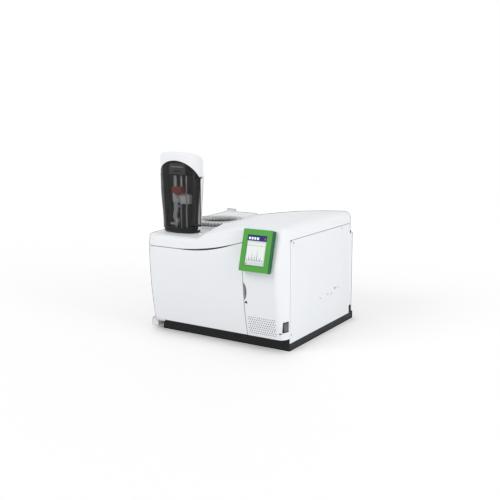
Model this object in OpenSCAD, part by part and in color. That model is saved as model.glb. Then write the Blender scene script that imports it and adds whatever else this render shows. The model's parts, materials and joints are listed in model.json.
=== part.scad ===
// Bench gas chromatograph with an autosampler tower, a vial carousel, an oven and a touch screen.
// Millimetres. X to the right, Y to the back, Z up. The origin lies on the bench, at the middle
// of the body's width and of the plinth's depth.

/* [Body] */
// Width over the two side panels
body_w = 660; // [648:2:680]
// Depth of the plinth
plinth_d = 572; // [568:2:580]
// Height of the plinth's top over the bench
plinth_top = 30; // [28:1:32]
// Thickness of the rubber pads under the plinth
pad_t = 3; // [2:0.5:5]
// Radius of a rubber pad
pad_r = 15; // [10:1:20]
// How far the plinth stops short of the left side
plinth_inset = 49; // [44:1:56]
// Thickness of the folded steel sheet
sheet = 2; // [1.5:0.1:2.5]
// Thickness of the moulded covers
wall = 3; // [2.5:0.1:3.5]
// Height of the right side panel's top edge
panel_top = 429; // [425:1:432]

/* [Front] */
// Distance from the middle to the furthest point of the bulged front
front_reach = 365; // [363:1:368]
// Height of the furthest point of the front
belly_z = 345; // [335:1:365]
// Radius of the front's curve under that height
belly_r = 1150; // [1100:5:1400]
// Radius of the front's curve over that height
crown_r = 260; // [200:5:320]
// Lean of the column's flat upper face
face_lean = 15; // [14:0.5:16]
// Height of the door's and the column's lower edge
front_bottom = 50; // [50:1:54]
// Width of the rounded left corner
left_corner = 70; // [66:1:76]
// How far the left corner's rear end moves to the front at its foot
left_sweep = 19; // [14:1:22]
// Width of the rounded right corner
right_corner = 28; // [26:1:32]
// Width of the column at the right of the door
column_w = 164; // [162:1:168]
// Gap between the oven door and what is beside it
door_gap = 2.5; // [2:0.1:3.5]
// Height of the level left part of the seam over the door
seam_z = 367; // [365:1:370]
// How fast that seam rises to the right, per square millimetre
seam_curve = 0.00049; // [0.0004:0.00001:0.00052]
// Extra depth of the finger gap under the seam
finger_gap = 4.5; // [3:0.5:6]

/* [Top] */
// Height of the deck at its front
deck_z = 415; // [414:0.5:417]
// Rise of the deck from its front to its rear
deck_rise = 18; // [16:1:20]
// Height of the ridge along the raised right part
ridge_z = 487; // [484:1:490]
// Drop of the ridge at its front and its rear
ridge_drop = 10; // [8:1:13]
// X of the flank's foot beside the carousel
flank_x = -100; // [-104:1:-96]
// Width of the flank from its foot to the ridge
flank_w = 250; // [240:2:260]
// Share of the flank's height that rises steeply at its foot
flank_step = 0.38; // [0.32:0.01:0.42]
// Distance from the middle to the top covers' rear edge
top_rear = 243; // [242:1:246]

/* [Oven] */
// Clear width of the oven
oven_w = 300; // [280:2:310]
// Clear height of the oven
oven_h = 252; // [240:2:256]
// Clear depth of the oven
oven_d = 176; // [168:2:190]
// Height of the oven's floor
oven_z = 84; // [82:1:88]
// Distance from the middle to the face that the door closes on
oven_face = 300; // [299:0.5:301]
// Radius of the fan wheel
fan_r = 62; // [50:1:70]
// Radius of the coiled column
coil_r = 84; // [70:1:90]
// Radius of the column's tube, drawn thick enough to handle
coil_tube = 0.8; // [0.6:0.1:1.2]

/* [Autosampler] */
// Distance from the left side to the tower's axis
tower_in = 130; // [128:1:132]
// Distance from the front to the tower's axis
tower_back = 110; // [108:1:111]
// Half of the tower's width
tower_a = 98; // [94:1:98]
// Half of the tower's depth
tower_b = 48; // [47:0.5:49]
// Height of the tower's top
tower_top = 752; // [746:1:758]
// Fall of the tower's top to the back, per millimetre of depth
tower_slope = 0.45; // [0.3:0.05:0.5]
// Radius round the tower's top edge
cap_r = 14; // [10:1:16]
// Half of the width of the arch over the tower's door
arch_a = 97; // [94:1:98]
// Height where the arch begins
arch_z = 640; // [630:1:644]
// Rise of the arch
arch_h = 72; // [64:1:74]
// How far the tower's door bulges in front of the shell
door_bulge = 5; // [3:0.5:6]
// Distance from the needle to the tower's axis
needle_out = 33; // [32:0.5:34]
// Distance from the left side to the carousel's axis
carousel_in = 175; // [173:1:177]
// Distance from the front to the carousel's axis
carousel_back = 313; // [312:1:315]
// Radius of the carousel's tray
tray_r = 110; // [109:1:111]
// Radius of a sample vial
vial_r = 5.8; // [5.4:0.1:5.9]
// Radius of the outer ring of vials
outer_ring = 101; // [100:1:102]
// Positions in the outer ring
outer_vials = 46; // [36:2:46]
// Radius of the inner ring of vials
inner_ring = 85; // [82:1:86]
// Positions in the inner ring
inner_vials = 36; // [24:2:38]
// Height of a vial without its cap
vial_h = 31; // [30:0.5:32]

/* [Display] */
// Width of the display's housing
display_w = 126; // [120:1:128]
// Height of the display's housing
display_h = 160; // [152:1:162]
// Thickness of the display's housing
display_t = 26; // [22:1:27]
// Lean of the display from upright
display_lean = 15.2; // [14:0.1:16]
// Distance from the middle to the display's lower front edge
display_out = 398; // [397:0.5:400]
// Height of the display's lower front edge
display_z = 319; // [317:1:322]
// Distance from the display to the column's right side
display_in = 36; // [35:1:38]
// Width of the screen's lit area
glass_w = 84; // [76:1:90]
// Height of the screen's lit area
glass_h = 116; // [105:1:122]
// Radius of the display's corners
display_r = 3.5; // [2:0.5:6]

/* [Hidden] */
eps = 0.01;
W = body_w / 2;
D = plinth_d / 2;

// colours
grey_light = [0.86, 0.87, 0.85];
grey_mid = [0.62, 0.64, 0.65];
steel = [0.72, 0.73, 0.75];
black = [0.08, 0.08, 0.09];
green = [0.2, 0.6, 0.35];
white = [0.93, 0.93, 0.92];
smoke = [0.25, 0.2, 0.2, 0.5];
wool = [0.85, 0.8, 0.6];

// front and top surfaces
left_y0 = 271;          // where the rounded left corner ends, from the belly up
right_y0 = 288;         // where the rounded right corner ends
left_drop = 14;         // height of the deck's rounded left edge
right_drop = 22;        // height of the raised part's rounded right edge
knee_y = 25;            // depth of the rounding from front to top
knee_z = 18;            // height of that rounding
knee_back = 335;        // distance from the middle to its upper end, about
split_x = W - column_w; // between the door and the column
flat_z = 331;           // where the column's flat upper face begins
ridge_y = -20;          // where the ridge is highest
ridge_half = 310;       // from there to where it has dropped fully
flank_foot = 22;        // width of the steep stretch at the flank's foot
flank_shift = 30;       // how far the flank moves right towards the front
flank_back = 60;        // how far its foot moves right towards the rear
crest_back = 160;       // how far its upper end moves right towards the rear
blend_x = 60;           // left of this the front is one curve, right of split_x its upper part is flat

function smooth(t) = let (c = max(0, min(1, t))) c * c * (3 - 2 * c);
function curve_f(z) = z < belly_z ? front_reach - pow(belly_z - z, 2) / (2 * belly_r)
                                  : front_reach - pow(z - belly_z, 2) / (2 * crown_r);
function flat_f(z) = curve_f(flat_z) - (z - flat_z) * tan(face_lean);
// distance from the middle to the front surface
function front_f(x, z) = let (a = curve_f(z), b = z > flat_z ? min(a, flat_f(z)) : a)
    a + (b - a) * smooth((x - blend_x) / (split_x - blend_x));
function deck_h(y) = deck_z + deck_rise * (y + 300) / 540;
function ridge_h(y) = ridge_z - ridge_drop * pow((y - ridge_y) / ridge_half, 2);
function to_front(y) = smooth((-y - 200) / 140);
function to_rear(y) = pow(max(0, y) / 250, 2);
function flank_0(y) = flank_x + flank_shift * to_front(y) + flank_back * to_rear(y);
function flank_1(y) = flank_x + flank_w + flank_shift * to_front(y) + crest_back * to_rear(y);
// height of the top surface
function top_h(x, y) = let (a = flank_0(y), b = flank_1(y),
        p = flank_step * smooth((x - a) / flank_foot) + (1 - flank_step) * smooth((x - a) / (b - a)))
    deck_h(y) + (ridge_h(y) - deck_h(y)) * p;
// height of the seam over the door, and of the door's own top edge
function seam(x) = seam_z + seam_curve * pow(max(0, x + W / 2), 2);
function door_top(x) = seam(x) - door_gap - finger_gap * max(0, 1 - pow((x + 14) / 127, 2));

// A station is [x, side, angle]: side -1 or 1 goes round a corner, by angle; 0 is the flat middle.
// A corner is its width, where it ends in depth and the drop of the top round it.
function corner(side) = side < 0 ? [left_corner, left_y0, left_drop] : [right_corner, right_y0, right_drop];
// where a corner ends in depth at a height: the left one's end moves to the back under the belly
function corner_end(side, z) = side < 0
    ? left_y0 - left_sweep * pow(max(0, (belly_z - z) / (belly_z - front_bottom)), 1.5) : right_y0;
function st_x(s, off) = s[1] == 0 ? s[0]
    : s[1] * (W - corner(s[1])[0] + (corner(s[1])[0] - off) * sin(s[2]));
function front_pt(s, z, off) = let (x = st_x(s, off), y0 = corner_end(s[1], z))
    [x, -(y0 + (front_f(x, z) - y0 - off) * cos(s[2])), z];
function knee_top(s) = let (x = st_x(s, 0), c = corner(s[1]))
    top_h(x, -knee_back) - c[2] + (c[2] - knee_z) * cos(s[2]);
function knee_f(s) = let (x = st_x(s, 0)) front_f(x, knee_top(s));
function knee_pt(s, b, off) = let (x = st_x(s, off), c = corner(s[1]), f = knee_f(s),
        y = -(c[1] + (f - knee_y + (knee_y - off) * cos(b) - c[1]) * cos(s[2])))
    [x, y, top_h(x, min(y, -knee_back + knee_y * sin(b))) - c[2]
           + (c[2] - knee_z + (knee_z - off) * sin(b)) * cos(s[2])];
function top_pt(s, u, off) = let (x = st_x(s, off), c = corner(s[1]),
        y1 = -(c[1] + (knee_f(s) - knee_y - c[1]) * cos(s[2])), y = y1 + (top_rear - y1) * u)
    [x, y, top_h(x, y) - c[2] + (c[2] - off) * cos(s[2])];
knee_steps = [18 : 18 : 90];
top_steps = [for (i = [1 : 14]) i / 14];
function lower(s, low) = low == "seam" ? seam(st_x(s, 0)) : front_bottom;
function section(s, n, low, off) = concat(
    [for (i = [0 : n]) let (a = lower(s, low)) front_pt(s, a + (knee_top(s) - a) * i / n, off)],
    [for (b = knee_steps) knee_pt(s, b, off)],
    [for (u = top_steps) top_pt(s, u, off)]);
function door_section(s, n, off) =
    [for (i = [0 : n]) front_pt(s, front_bottom + (door_top(st_x(s, 0)) - front_bottom) * i / n, off)];

function flat(rows) = [for (r = rows) for (p = r) p];
// a shell between two grids of points, closed round its four edges
module shell(outer, inner) {
    m = len(outer);
    n = len(outer[0]);
    k = m * n;
    function id(i, j) = i * n + j;
    polyhedron(points = concat(flat(outer), flat(inner)), faces = concat(
        [for (i = [0 : m - 2], j = [0 : n - 2]) [id(i, j), id(i, j + 1), id(i + 1, j + 1)]],
        [for (i = [0 : m - 2], j = [0 : n - 2]) [id(i, j), id(i + 1, j + 1), id(i + 1, j)]],
        [for (i = [0 : m - 2], j = [0 : n - 2]) [k + id(i, j), k + id(i + 1, j + 1), k + id(i, j + 1)]],
        [for (i = [0 : m - 2], j = [0 : n - 2]) [k + id(i, j), k + id(i + 1, j), k + id(i + 1, j + 1)]],
        [for (j = [0 : n - 2]) [id(0, j), k + id(0, j), k + id(0, j + 1)]],
        [for (j = [0 : n - 2]) [id(0, j), k + id(0, j + 1), id(0, j + 1)]],
        [for (j = [0 : n - 2]) [id(m - 1, j), id(m - 1, j + 1), k + id(m - 1, j + 1)]],
        [for (j = [0 : n - 2]) [id(m - 1, j), k + id(m - 1, j + 1), k + id(m - 1, j)]],
        [for (i = [0 : m - 2]) [id(i, 0), id(i + 1, 0), k + id(i + 1, 0)]],
        [for (i = [0 : m - 2]) [id(i, 0), k + id(i + 1, 0), k + id(i, 0)]],
        [for (i = [0 : m - 2]) [id(i + 1, n - 1), id(i, n - 1), k + id(i, n - 1)]],
        [for (i = [0 : m - 2]) [id(i + 1, n - 1), k + id(i, n - 1), k + id(i + 1, n - 1)]]));
}
left_angles = [90, 78, 66, 54, 42, 30, 20, 10];
right_angles = [12, 26, 40, 54, 68, 80, 90];
left_stations = [for (a = left_angles) [0, -1, a]];
right_stations = [for (a = right_angles) [0, 1, a]];
function middle(x0, x1, n) = [for (i = [0 : n]) [x0 + (x1 - x0) * i / n, 0, 0]];

// where the moving parts turn and slide
hinge_x = -W + 18;
hinge_y = -287;
tower_x = -W + tower_in;
tower_y = -front_reach + tower_back;
carousel_x = -W + carousel_in;
carousel_y = -front_reach + carousel_back;

// deck openings
plate_z = 400;            // underside of the mounting plate under the deck
plate_t = 3;
plate_y = -303;           // its front edge
well_r = tray_r + 3;
lip_w = 5;                // width of the raised lip round the carousel's well
lip_z = 430;              // height of that lip
hub_r = 18;
hub_hole = 20;
inlet_r = 11;
inlet_hole = 12.5;
park_hole = 5;            // for the needle while the tower is turned away
port_r = 9.5;
ports = [[-92, -272], [-96, -203]];
lid_x0 = -300;
lid_x1 = -132;
lid_y0 = 78;
lid_y1 = 226;
service_x0 = 58;
service_x1 = 268;
service_y0 = -200;
service_r = 45;

module at(x, y, z) { translate([x, y, z]) children(); }
module box(x0, x1, y0, y1, z0, z1) { translate([x0, y0, z0]) cube([x1 - x0, y1 - y0, z1 - z0]); }
module post(x, y, r, z0, z1) { translate([x, y, z0]) cylinder(r = r, h = z1 - z0); }
module along_x(x0, x1, y, z, r) { translate([x0, y, z]) rotate([0, 90, 0]) cylinder(r = r, h = x1 - x0); }
module along_y(x, y0, y1, z, r) { translate([x, y0, z]) rotate([-90, 0, 0]) cylinder(r = r, h = y1 - y0); }
$fn = 40;

// ---------- base and body ----------
pads = [[-250, -250], [300, -250], [-250, 250], [300, 250]];
module base_plinth() {
    color(black) difference() {
        union() {
            box(-W + plinth_inset, W - sheet, -D, D, 0, plinth_top);
            box(-W + plinth_inset, W - sheet, -D, -D + sheet, plinth_top, front_bottom - 3);
        }
        for (p = pads) post(p[0], p[1], pad_r, -eps, pad_t);
    }
}
module rubber_pads() {
    color(black) for (p = pads) post(p[0], p[1], pad_r, 0, pad_t);
}

pan_z = plinth_top + sheet;
rear_y = 240;
casing_x0 = -80 - oven_w / 2 - 40;
casing_x1 = -80 + oven_w / 2 + 62;
casing_y1 = -48;
casing_z0 = oven_z - 26;
casing_z1 = 378;
module chassis_pan() {
    color(steel) {
        box(-W + sheet, W - sheet, -268, rear_y, plinth_top, pan_z);
        box(-W + plinth_inset, W - sheet, -D + sheet, -268, plinth_top, pan_z);
        for (y = [-250, -110]) box(casing_x0, casing_x1, y, y + 20, pan_z, casing_z0);
        box(W - 2 * sheet, W - sheet, -268, rear_y, pan_z, pan_z + 18);
        box(-W + sheet, -W + 2 * sheet, -214, 216, pan_z, pan_z + 18);
    }
}
divider_x = 148;
module divider_wall() {
    color(steel) {
        box(divider_x, divider_x + sheet, -D + 4, rear_y, pan_z, plate_z);
        box(divider_x, divider_x + sheet, -298, -D + 4, front_bottom + 2, plate_z);
        box(divider_x + sheet, split_x + 30, -298, -296, front_bottom + 2, plate_z);
    }
}
module deck_posts() {
    color(steel) for (y = [-236, 218]) {
        box(-W + sheet, -300, y, y + 20, pan_z, 360);
        box(-312, -300, y, y + 20, 360, plate_z);
    }
}
module left_side_panel() {
    color(grey_light) translate([-W, 0, 0]) rotate([90, 0, 90]) linear_extrude(sheet) polygon(concat(
        [for (i = [0 : 10]) let (z = front_bottom + (seam_z - 1 - front_bottom) * i / 10)
            [4 - corner_end(-1, z), z]],
        [[rear_y + 4, seam_z - 1], [rear_y + 4, 12], [4 - corner_end(-1, front_bottom), 12]]));
}
module right_side_panel() {
    color(grey_light) translate([W - sheet, 0, 0]) rotate([90, 0, 90]) linear_extrude(sheet) difference() {
        translate([-D, plinth_top]) square([rear_y + 4 + D, panel_top - plinth_top]);
        translate([-D + 15, panel_top - 15]) difference() {
            translate([-16, 0]) square([16, 16]);
            circle(r = 15);
        }
        for (h = panel_holes) translate([h[0], h[1]]) circle(r = h[2]);
        for (p = panel_screw_yz) translate(p) circle(r = 2);
    }
}
panel_holes = [[-35, 155, 3.5], [35, 157, 3.5], [70, 155, 3.5], [101, 171, 5], [131, 169, 3]];
panel_screw_yz = [[-264, 418], [159, 418], [-276, 63]];
module panel_screws() {
    color(steel) for (p = panel_screw_yz) {
        along_x(W, W + 1.6, p[0], p[1], 4);
        along_x(W - 12, W, p[0], p[1], 2);
    }
}
module side_rail() {
    color(steel) {
        difference() {
            box(W - 22, W - sheet, -282, rear_y, 408, 424);
            box(W - 20, W - sheet - 2, -283, rear_y + 1, 410, 422);
            for (y = [-264, 159]) along_x(W - 13, W, y, 418, 2);
        }
        difference() {
            box(W - 22, W - sheet, -286, -268, pan_z + 18, 408);
            box(W - 20, W - sheet - 2, -284, -270, pan_z + 17, 409);
            along_x(W - 13, W, -276, 63, 2);
        }
        box(divider_x + sheet, W - 22, 100, 120, plate_z, plate_z + 3);
        box(divider_x + sheet, W - 22, -260, -240, plate_z, plate_z + 3);
        for (y = [100, -260]) box(W - 24, W - 22, y, y + 20, plate_z, 420);
    }
}
motor_z = 208;
duct_x = -180;
duct_z = 300;
duct_w = 70;
duct_h = 44;
function rear_edge(x, side) = let (c = corner(side), t = (c[0] - (W - abs(x))) / c[0])
    top_h(x, rear_y) - c[2] + c[2] * sqrt(max(0, 1 - t * t)) - 1.5;
function rear_h(x) = x < -W + left_corner ? rear_edge(x, -1)
    : x > W - right_corner ? rear_edge(x, 1) : top_h(x, rear_y);
module rear_outline() {
    x1 = W - wall - 1;
    polygon(concat([[-W + sheet, pan_z], [W - sheet, pan_z], [W - sheet, panel_top - 3], [x1, panel_top - 3]],
        [for (i = [0 : 30]) let (x = x1 * (1 - i / 15)) [x, rear_h(x) - wall - 2]],
        [[-x1, seam_z - 3], [-W + sheet, seam_z - 3]]));
}
module rear_panel() {
    color(steel) difference() {
        translate([0, rear_y + sheet, 0]) rotate([90, 0, 0]) linear_extrude(sheet) rear_outline();
        duct_cut(rear_y - 1, rear_y + 3);
        box(178, 222, rear_y - 1, rear_y + 3, 90, 120);
        for (x = [-60, 60], z = [120 : 16 : 216]) box(x - 40, x + 40, rear_y - 1, rear_y + 3, z, z + 6);
        for (x = gas_x) along_y(x, rear_y - 1, rear_y + 3, gas_z, 6.9);
    }
}
shroud_x = 322;
shroud_top = 384;
module rear_shroud() {
    color(grey_light) difference() {
        box(-shroud_x, shroud_x, rear_y + sheet, D, plinth_top, shroud_top);
        box(-shroud_x + sheet, shroud_x - sheet, rear_y + sheet - 1, D - sheet,
            plinth_top - 1, shroud_top - sheet);
        duct_cut(D - 4, D + 1);
        box(176, 224, D - 4, D + 1, 88, 122);
        for (x = [-60, 60], z = [112 : 16 : 224]) box(x - 44, x + 44, D - 4, D + 1, z, z + 6);
    }
}
module rear_bumpers() {
    color(black) for (s = [-1, 1]) {
        box(s < 0 ? -W + 2 : W - 30, s < 0 ? -W + 30 : W - 2, rear_y + sheet + 2, rear_y + 16,
            shroud_top, shroud_top + 12);
        box(s < 0 ? -shroud_x - 6 : shroud_x, s < 0 ? -shroud_x : shroud_x + 6, 250, 270, plinth_top, 60);
    }
}
duct_t = 1.5;
module duct_cut(y0, y1, t = 0) {
    box(duct_x - duct_w / 2 + t, duct_x + duct_w / 2 - t, y0, y1,
        duct_z - duct_h / 2 + t, duct_z + duct_h / 2 - t);
}
module exhaust_duct() {
    color(steel) difference() {
        duct_cut(liner_y1, D);
        duct_cut(liner_y1 - 1, D + 1, duct_t);
        along_x(duct_x - duct_w / 2 - 1, duct_x + duct_w / 2 + 1, flap_y, duct_z, 3.05);
    }
}
flap_y = 200;
flap_half = duct_h / 2 - 3;
module vent_flap() {
    color(steel) {
        along_x(duct_x - duct_w / 2 - 6, duct_x + duct_w / 2 + 6, flap_y, duct_z, 3);
        box(duct_x - duct_w / 2 + 3, duct_x + duct_w / 2 - 3, flap_y - 1, flap_y + 1,
            duct_z - flap_half, duct_z + flap_half);
        box(duct_x + duct_w / 2 + 3, duct_x + duct_w / 2 + 6, flap_y - 4, flap_y + 4, duct_z - 24, duct_z);
    }
}
module power_inlet() {
    color(black) difference() {
        union() {
            box(178, 222, rear_y - 20, D, 90, 120);
            box(172, 228, D, D + 2, 84, 126);
        }
        box(188, 212, D - 14, D + 3, 98, 114);
    }
}
module power_pins() {
    color(steel) for (x = [193, 200, 207]) let (z = x == 200 ? 104 : 101)
        box(x - 1, x + 1, D - 14, D - 3, z, z + 6);
}
gas_x = [-220, -194, -168];
gas_z = 411;
module gas_fittings() {
    color([0.75, 0.62, 0.3]) for (x = gas_x) difference() {
        union() {
            along_y(x, rear_y - 14, rear_y + 18, gas_z, 6.9);
            translate([x, rear_y + sheet, gas_z]) rotate([-90, 0, 0]) cylinder(r = 9, h = 8, $fn = 6);
            translate([x, rear_y - 8, gas_z]) rotate([-90, 0, 0]) cylinder(r = 8, h = 8, $fn = 6);
        }
        along_y(x, rear_y - 15, rear_y + 19, gas_z, 1.6);
    }
}

// ---------- oven ----------
liner_x0 = -80 - oven_w / 2;
liner_x1 = -80 + oven_w / 2;
liner_y1 = -oven_face + oven_d;
liner_z1 = oven_z + oven_h;
fan_y = liner_y1 - 22;
module casing_holes(r) {
    post(tower_x, tower_y - needle_out, inlet_r + r, 300, 420);
    for (p = ports) post(p[0], p[1], 8 + r, 300, 420);
}
module oven_casing() {
    color(steel) difference() {
        box(casing_x0, casing_x1, -oven_face + sheet, casing_y1, casing_z0, casing_z1);
        box(casing_x0 + sheet, casing_x1 - sheet, -oven_face, casing_y1 - sheet,
            casing_z0 + sheet, casing_z1 - sheet);
        casing_holes(0);
        duct_cut(casing_y1 - 3, casing_y1 + 1);
        along_y(-80, casing_y1 - 3, casing_y1 + 1, motor_z, 8);
    }
}
module oven_insulation() {
    color(wool) difference() {
        box(casing_x0 + sheet, casing_x1 - sheet, -oven_face + sheet, casing_y1 - sheet,
            casing_z0 + sheet, casing_z1 - sheet);
        box(liner_x0 - sheet, liner_x1 + sheet, -oven_face - 1, liner_y1 + sheet,
            oven_z - sheet, liner_z1 + sheet);
        casing_holes(0);
        duct_cut(liner_y1, casing_y1);
        along_y(-80, liner_y1, casing_y1, motor_z, 8);
    }
}
module oven_liner() {
    color(steel) difference() {
        union() {
            box(liner_x0 - sheet, liner_x1 + sheet, -oven_face, liner_y1 + sheet,
                oven_z - sheet, liner_z1 + sheet);
            box(casing_x0, casing_x1, -oven_face, -oven_face + sheet, casing_z0, casing_z1);
        }
        box(liner_x0, liner_x1, -oven_face - 1, liner_y1, oven_z, liner_z1);
        casing_holes(0);
        duct_cut(liner_y1 - 1, liner_y1 + 3);
        along_y(-80, liner_y1 - 1, liner_y1 + 3, motor_z, 8);
    }
}
blades = 12;
module oven_fan() {
    color(steel) {
        along_y(-80, fan_y + 14, fan_y + 15.5, motor_z, fan_r);
        difference() {
            along_y(-80, fan_y, fan_y + 16, motor_z, 9);
            along_y(-80, fan_y - 1, fan_y + 17, motor_z, 3);
        }
        for (i = [0 : blades - 1]) translate([-80, 0, motor_z]) rotate([0, i * 360 / blades, 0])
            box(34, fan_r, fan_y, fan_y + 14, -0.75, 0.75);
    }
}
module fan_shaft() {
    color(steel) along_y(-80, fan_y - 3, casing_y1 + 30, motor_z, 3);
}
module fan_motor() {
    color(grey_mid) difference() {
        union() {
            along_y(-80, casing_y1 + 12, casing_y1 + 68, motor_z, 34);
            for (x = [-114, -54]) box(x, x + 8, casing_y1, casing_y1 + 14, motor_z - 6, motor_z + 6);
            along_y(-80, casing_y1 + 60, casing_y1 + 76, motor_z, 12);
        }
        along_y(-80, casing_y1 + 11, casing_y1 + 50, motor_z, 3.05);
    }
}
heater_r = fan_r + 12;
module heater_coil() {
    color(steel) {
        for (y = [fan_y + 2, fan_y + 10]) translate([-80, y, motor_z]) rotate([90, 0, 0])
            rotate_extrude($fn = 64) translate([heater_r, 0]) circle(r = 2.2, $fn = 16);
        for (a = [0, 120, 240]) translate([-80, 0, motor_z]) rotate([0, a, 0])
            box(heater_r - 2, heater_r + 2, fan_y, liner_y1, -2, 2);
    }
}
baffle_y = fan_y - 16;
module fan_baffle() {
    color(steel) difference() {
        union() {
            box(liner_x0 + 26, liner_x1 - 26, baffle_y, baffle_y + 1.5, oven_z + 16, liner_z1 - 16);
            for (x = [liner_x0 + 36, liner_x1 - 42], z = [oven_z + 24, liner_z1 - 30])
                box(x, x + 6, baffle_y + 1.5, liner_y1, z, z + 6);
        }
        along_y(-80, baffle_y - 1, baffle_y + 3, motor_z, 44);
    }
}
coil_y = baffle_y - 44;
module column_hanger() {
    color(steel) {
        for (y = [coil_y - 14, coil_y + 12]) difference() {
            along_y(-80, y, y + 2, motor_z, coil_r - 1.5);
            along_y(-80, y - 1, y + 3, motor_z, coil_r - 8);
        }
        for (a = [0 : 60 : 300]) translate([-80, 0, motor_z]) rotate([0, a, 0])
            box(coil_r - 6, coil_r - 2, coil_y - 14, coil_y + 14, -1.5, 1.5);
        for (a = [30, 150]) translate([-80, 0, motor_z]) rotate([0, -a, 0])
            box(coil_r - 7, coil_r - 3, coil_y + 12, baffle_y, -3, 3);
    }
}
column_turns = 9;
module capillary_column() {
    color([0.55, 0.42, 0.2]) {
        for (i = [0 : column_turns - 1]) translate([-80, coil_y - 11 + i * 2.2, motor_z]) rotate([90, 0, 0])
            rotate_extrude($fn = 64) translate([coil_r - 1.5 + coil_tube, 0]) circle(r = coil_tube, $fn = 16);
        post(tower_x, tower_y - needle_out, coil_tube, motor_z + 20, liner_z1 - 8);
        along_y(tower_x, tower_y - needle_out, coil_y - 11, motor_z + 20, coil_tube);
        along_x(tower_x, -80.6 - sqrt(coil_r * coil_r - 400), coil_y - 11, motor_z + 20, coil_tube);
    }
}
injector_top = 413;
injector_bore = 4;
tip_bore = 1.6;
module injector() {
    color(steel) translate([tower_x, tower_y - needle_out, 0]) difference() {
        union() {
            post(0, 0, inlet_r, liner_z1 - 2, injector_top);
            post(0, 0, 4, liner_z1 - 12, liner_z1 - 2);
        }
        post(0, 0, injector_bore, liner_z1 + 10, injector_top + 1);
        post(0, 0, tip_bore, liner_z1 - 13, liner_z1 + 11);
        translate([0, 0, injector_top - 3]) cylinder(r1 = injector_bore, r2 = 6.5, h = 3 + eps);
    }
}
port_z = 414;
cap_rise = 5;             // height of a port's cap over the deck
module side_ports() {
    color(steel) for (p = ports) post(p[0], p[1], 8, liner_z1 - 2, port_z);
    color(steel) for (p = ports) post(p[0], p[1], 4, liner_z1 - 12, liner_z1 - 2);
}
module port_caps() {
    color(white) for (p = ports) let (top = deck_h(p[1]) + cap_rise) difference() {
        union() {
            post(p[0], p[1], port_r, port_z, top - 1.5);
            post(p[0], p[1], port_r - 1.5, top - 1.5, top);
        }
        post(p[0], p[1], 1.5, port_z + 2, top + 1);
    }
}
module gas_manifold() {
    color(steel) {
        box(-292, -140, 90, 214, plate_z + plate_t, plate_z + plate_t + 6);
        for (i = [0 : 3]) post(-272 + 38 * i, 120, 11, plate_z + plate_t + 6, plate_z + plate_t + 15);
        for (x = gas_x) along_y(x, 214, rear_y - 14, gas_z, 2);
        box(gas_x[0] - 4, gas_x[2] + 4, 206, 214, plate_z + plate_t + 6, gas_z + 4);
    }
}

// ---------- oven door ----------
door_x1 = split_x - door_gap;
door_rear = 305;
door_stations = concat(left_stations, middle(-W + left_corner, door_x1, 14));
module door_skin() {
    color(grey_light) {
        shell([for (s = door_stations) door_section(s, 9, 0)],
            [for (s = door_stations) door_section(s, 9, wall)]);
        translate([door_x1 - wall, 0, 0]) rotate([90, 0, 90]) linear_extrude(wall) polygon(concat(
            [for (i = [0 : 9]) let (z = front_bottom + 0.5 + (door_top(door_x1) - 1 - front_bottom) * i / 9)
                [-front_f(door_x1, z) + 1.5, z]],
            [[-door_rear, door_top(door_x1) - 0.5], [-door_rear, front_bottom + 0.5]]));
        translate([0, 0, front_bottom]) linear_extrude(wall) polygon(concat(
            [for (s = door_stations) let (p = front_pt(s, front_bottom, 1.5)) [p[0], p[1]]],
            [[door_x1, -door_rear], [-290, -door_rear], [-300, -290]]));
        shell([for (x = door_edge_x) door_edge(x, 0)], [for (x = door_edge_x) door_edge(x, wall)]);
    }
}
door_edge_x = [for (i = [0 : 12]) -284 + (door_x1 - 1 + 284) * i / 12];
function door_edge(x, down) = let (z = door_top(x) - 0.2 - down)
    [[x, -front_f(x, z) + 1.5, z], [x, -door_rear, z]];
module door_pan() {
    color(steel) difference() {
        box(-296, door_x1 - 4, -door_rear - 2, -door_rear + 2, front_bottom + 4, seam_z - 6);
        box(liner_x0 + 4, liner_x1 - 4, -door_rear - 3, -door_rear, oven_z + 4, liner_z1 - 4);
    }
}
module door_insulation() {
    color(wool) box(liner_x0 + 4, liner_x1 - 4, -door_rear - 26, -door_rear, oven_z + 4, liner_z1 - 4);
}
module door_seal() {
    color(black) difference() {
        box(liner_x0 - 16, liner_x1 + 16, -door_rear + 2, -oven_face - 0.2, oven_z - 16, liner_z1 + 16);
        box(liner_x0 - 8, liner_x1 + 8, -door_rear, -oven_face + 1, oven_z - 8, liner_z1 + 8);
    }
}
pin_r = 4;
arm_top = 350;
module door_arms() {
    color(steel) {
        hinge_arm(front_bottom - 10, front_bottom);
        post(hinge_x, hinge_y, pin_r, 16, front_bottom - 10);
        hinge_arm(arm_top - 8, arm_top);
        post(hinge_x, hinge_y, pin_r, arm_top, 390);
    }
}
module hinge_arm(z0, z1) {
    post(hinge_x, hinge_y, 9, z0, z1);
    box(hinge_x, -250, -318, -308, z0, z1);
    box(hinge_x, hinge_x + 9, -318, hinge_y, z0, z1);
    box(-296, -250, -312, -door_rear - 2, z0, z1);
}
module hinge_blocks() {
    color(grey_light) difference() {
        union() {
            box(-W + sheet, -298, -304, -240, 12, plinth_top);
            box(-W + sheet, -298, -304, -269, plinth_top, front_bottom - 12);
        }
        post(hinge_x, hinge_y, pin_r + 0.05, 14, 60);
    }
    color(steel) difference() {
        box(-322, -286, -304, -272, seam_z + 3, plate_z);
        post(hinge_x, hinge_y, pin_r + 0.05, seam_z, 392);
    }
}

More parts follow.
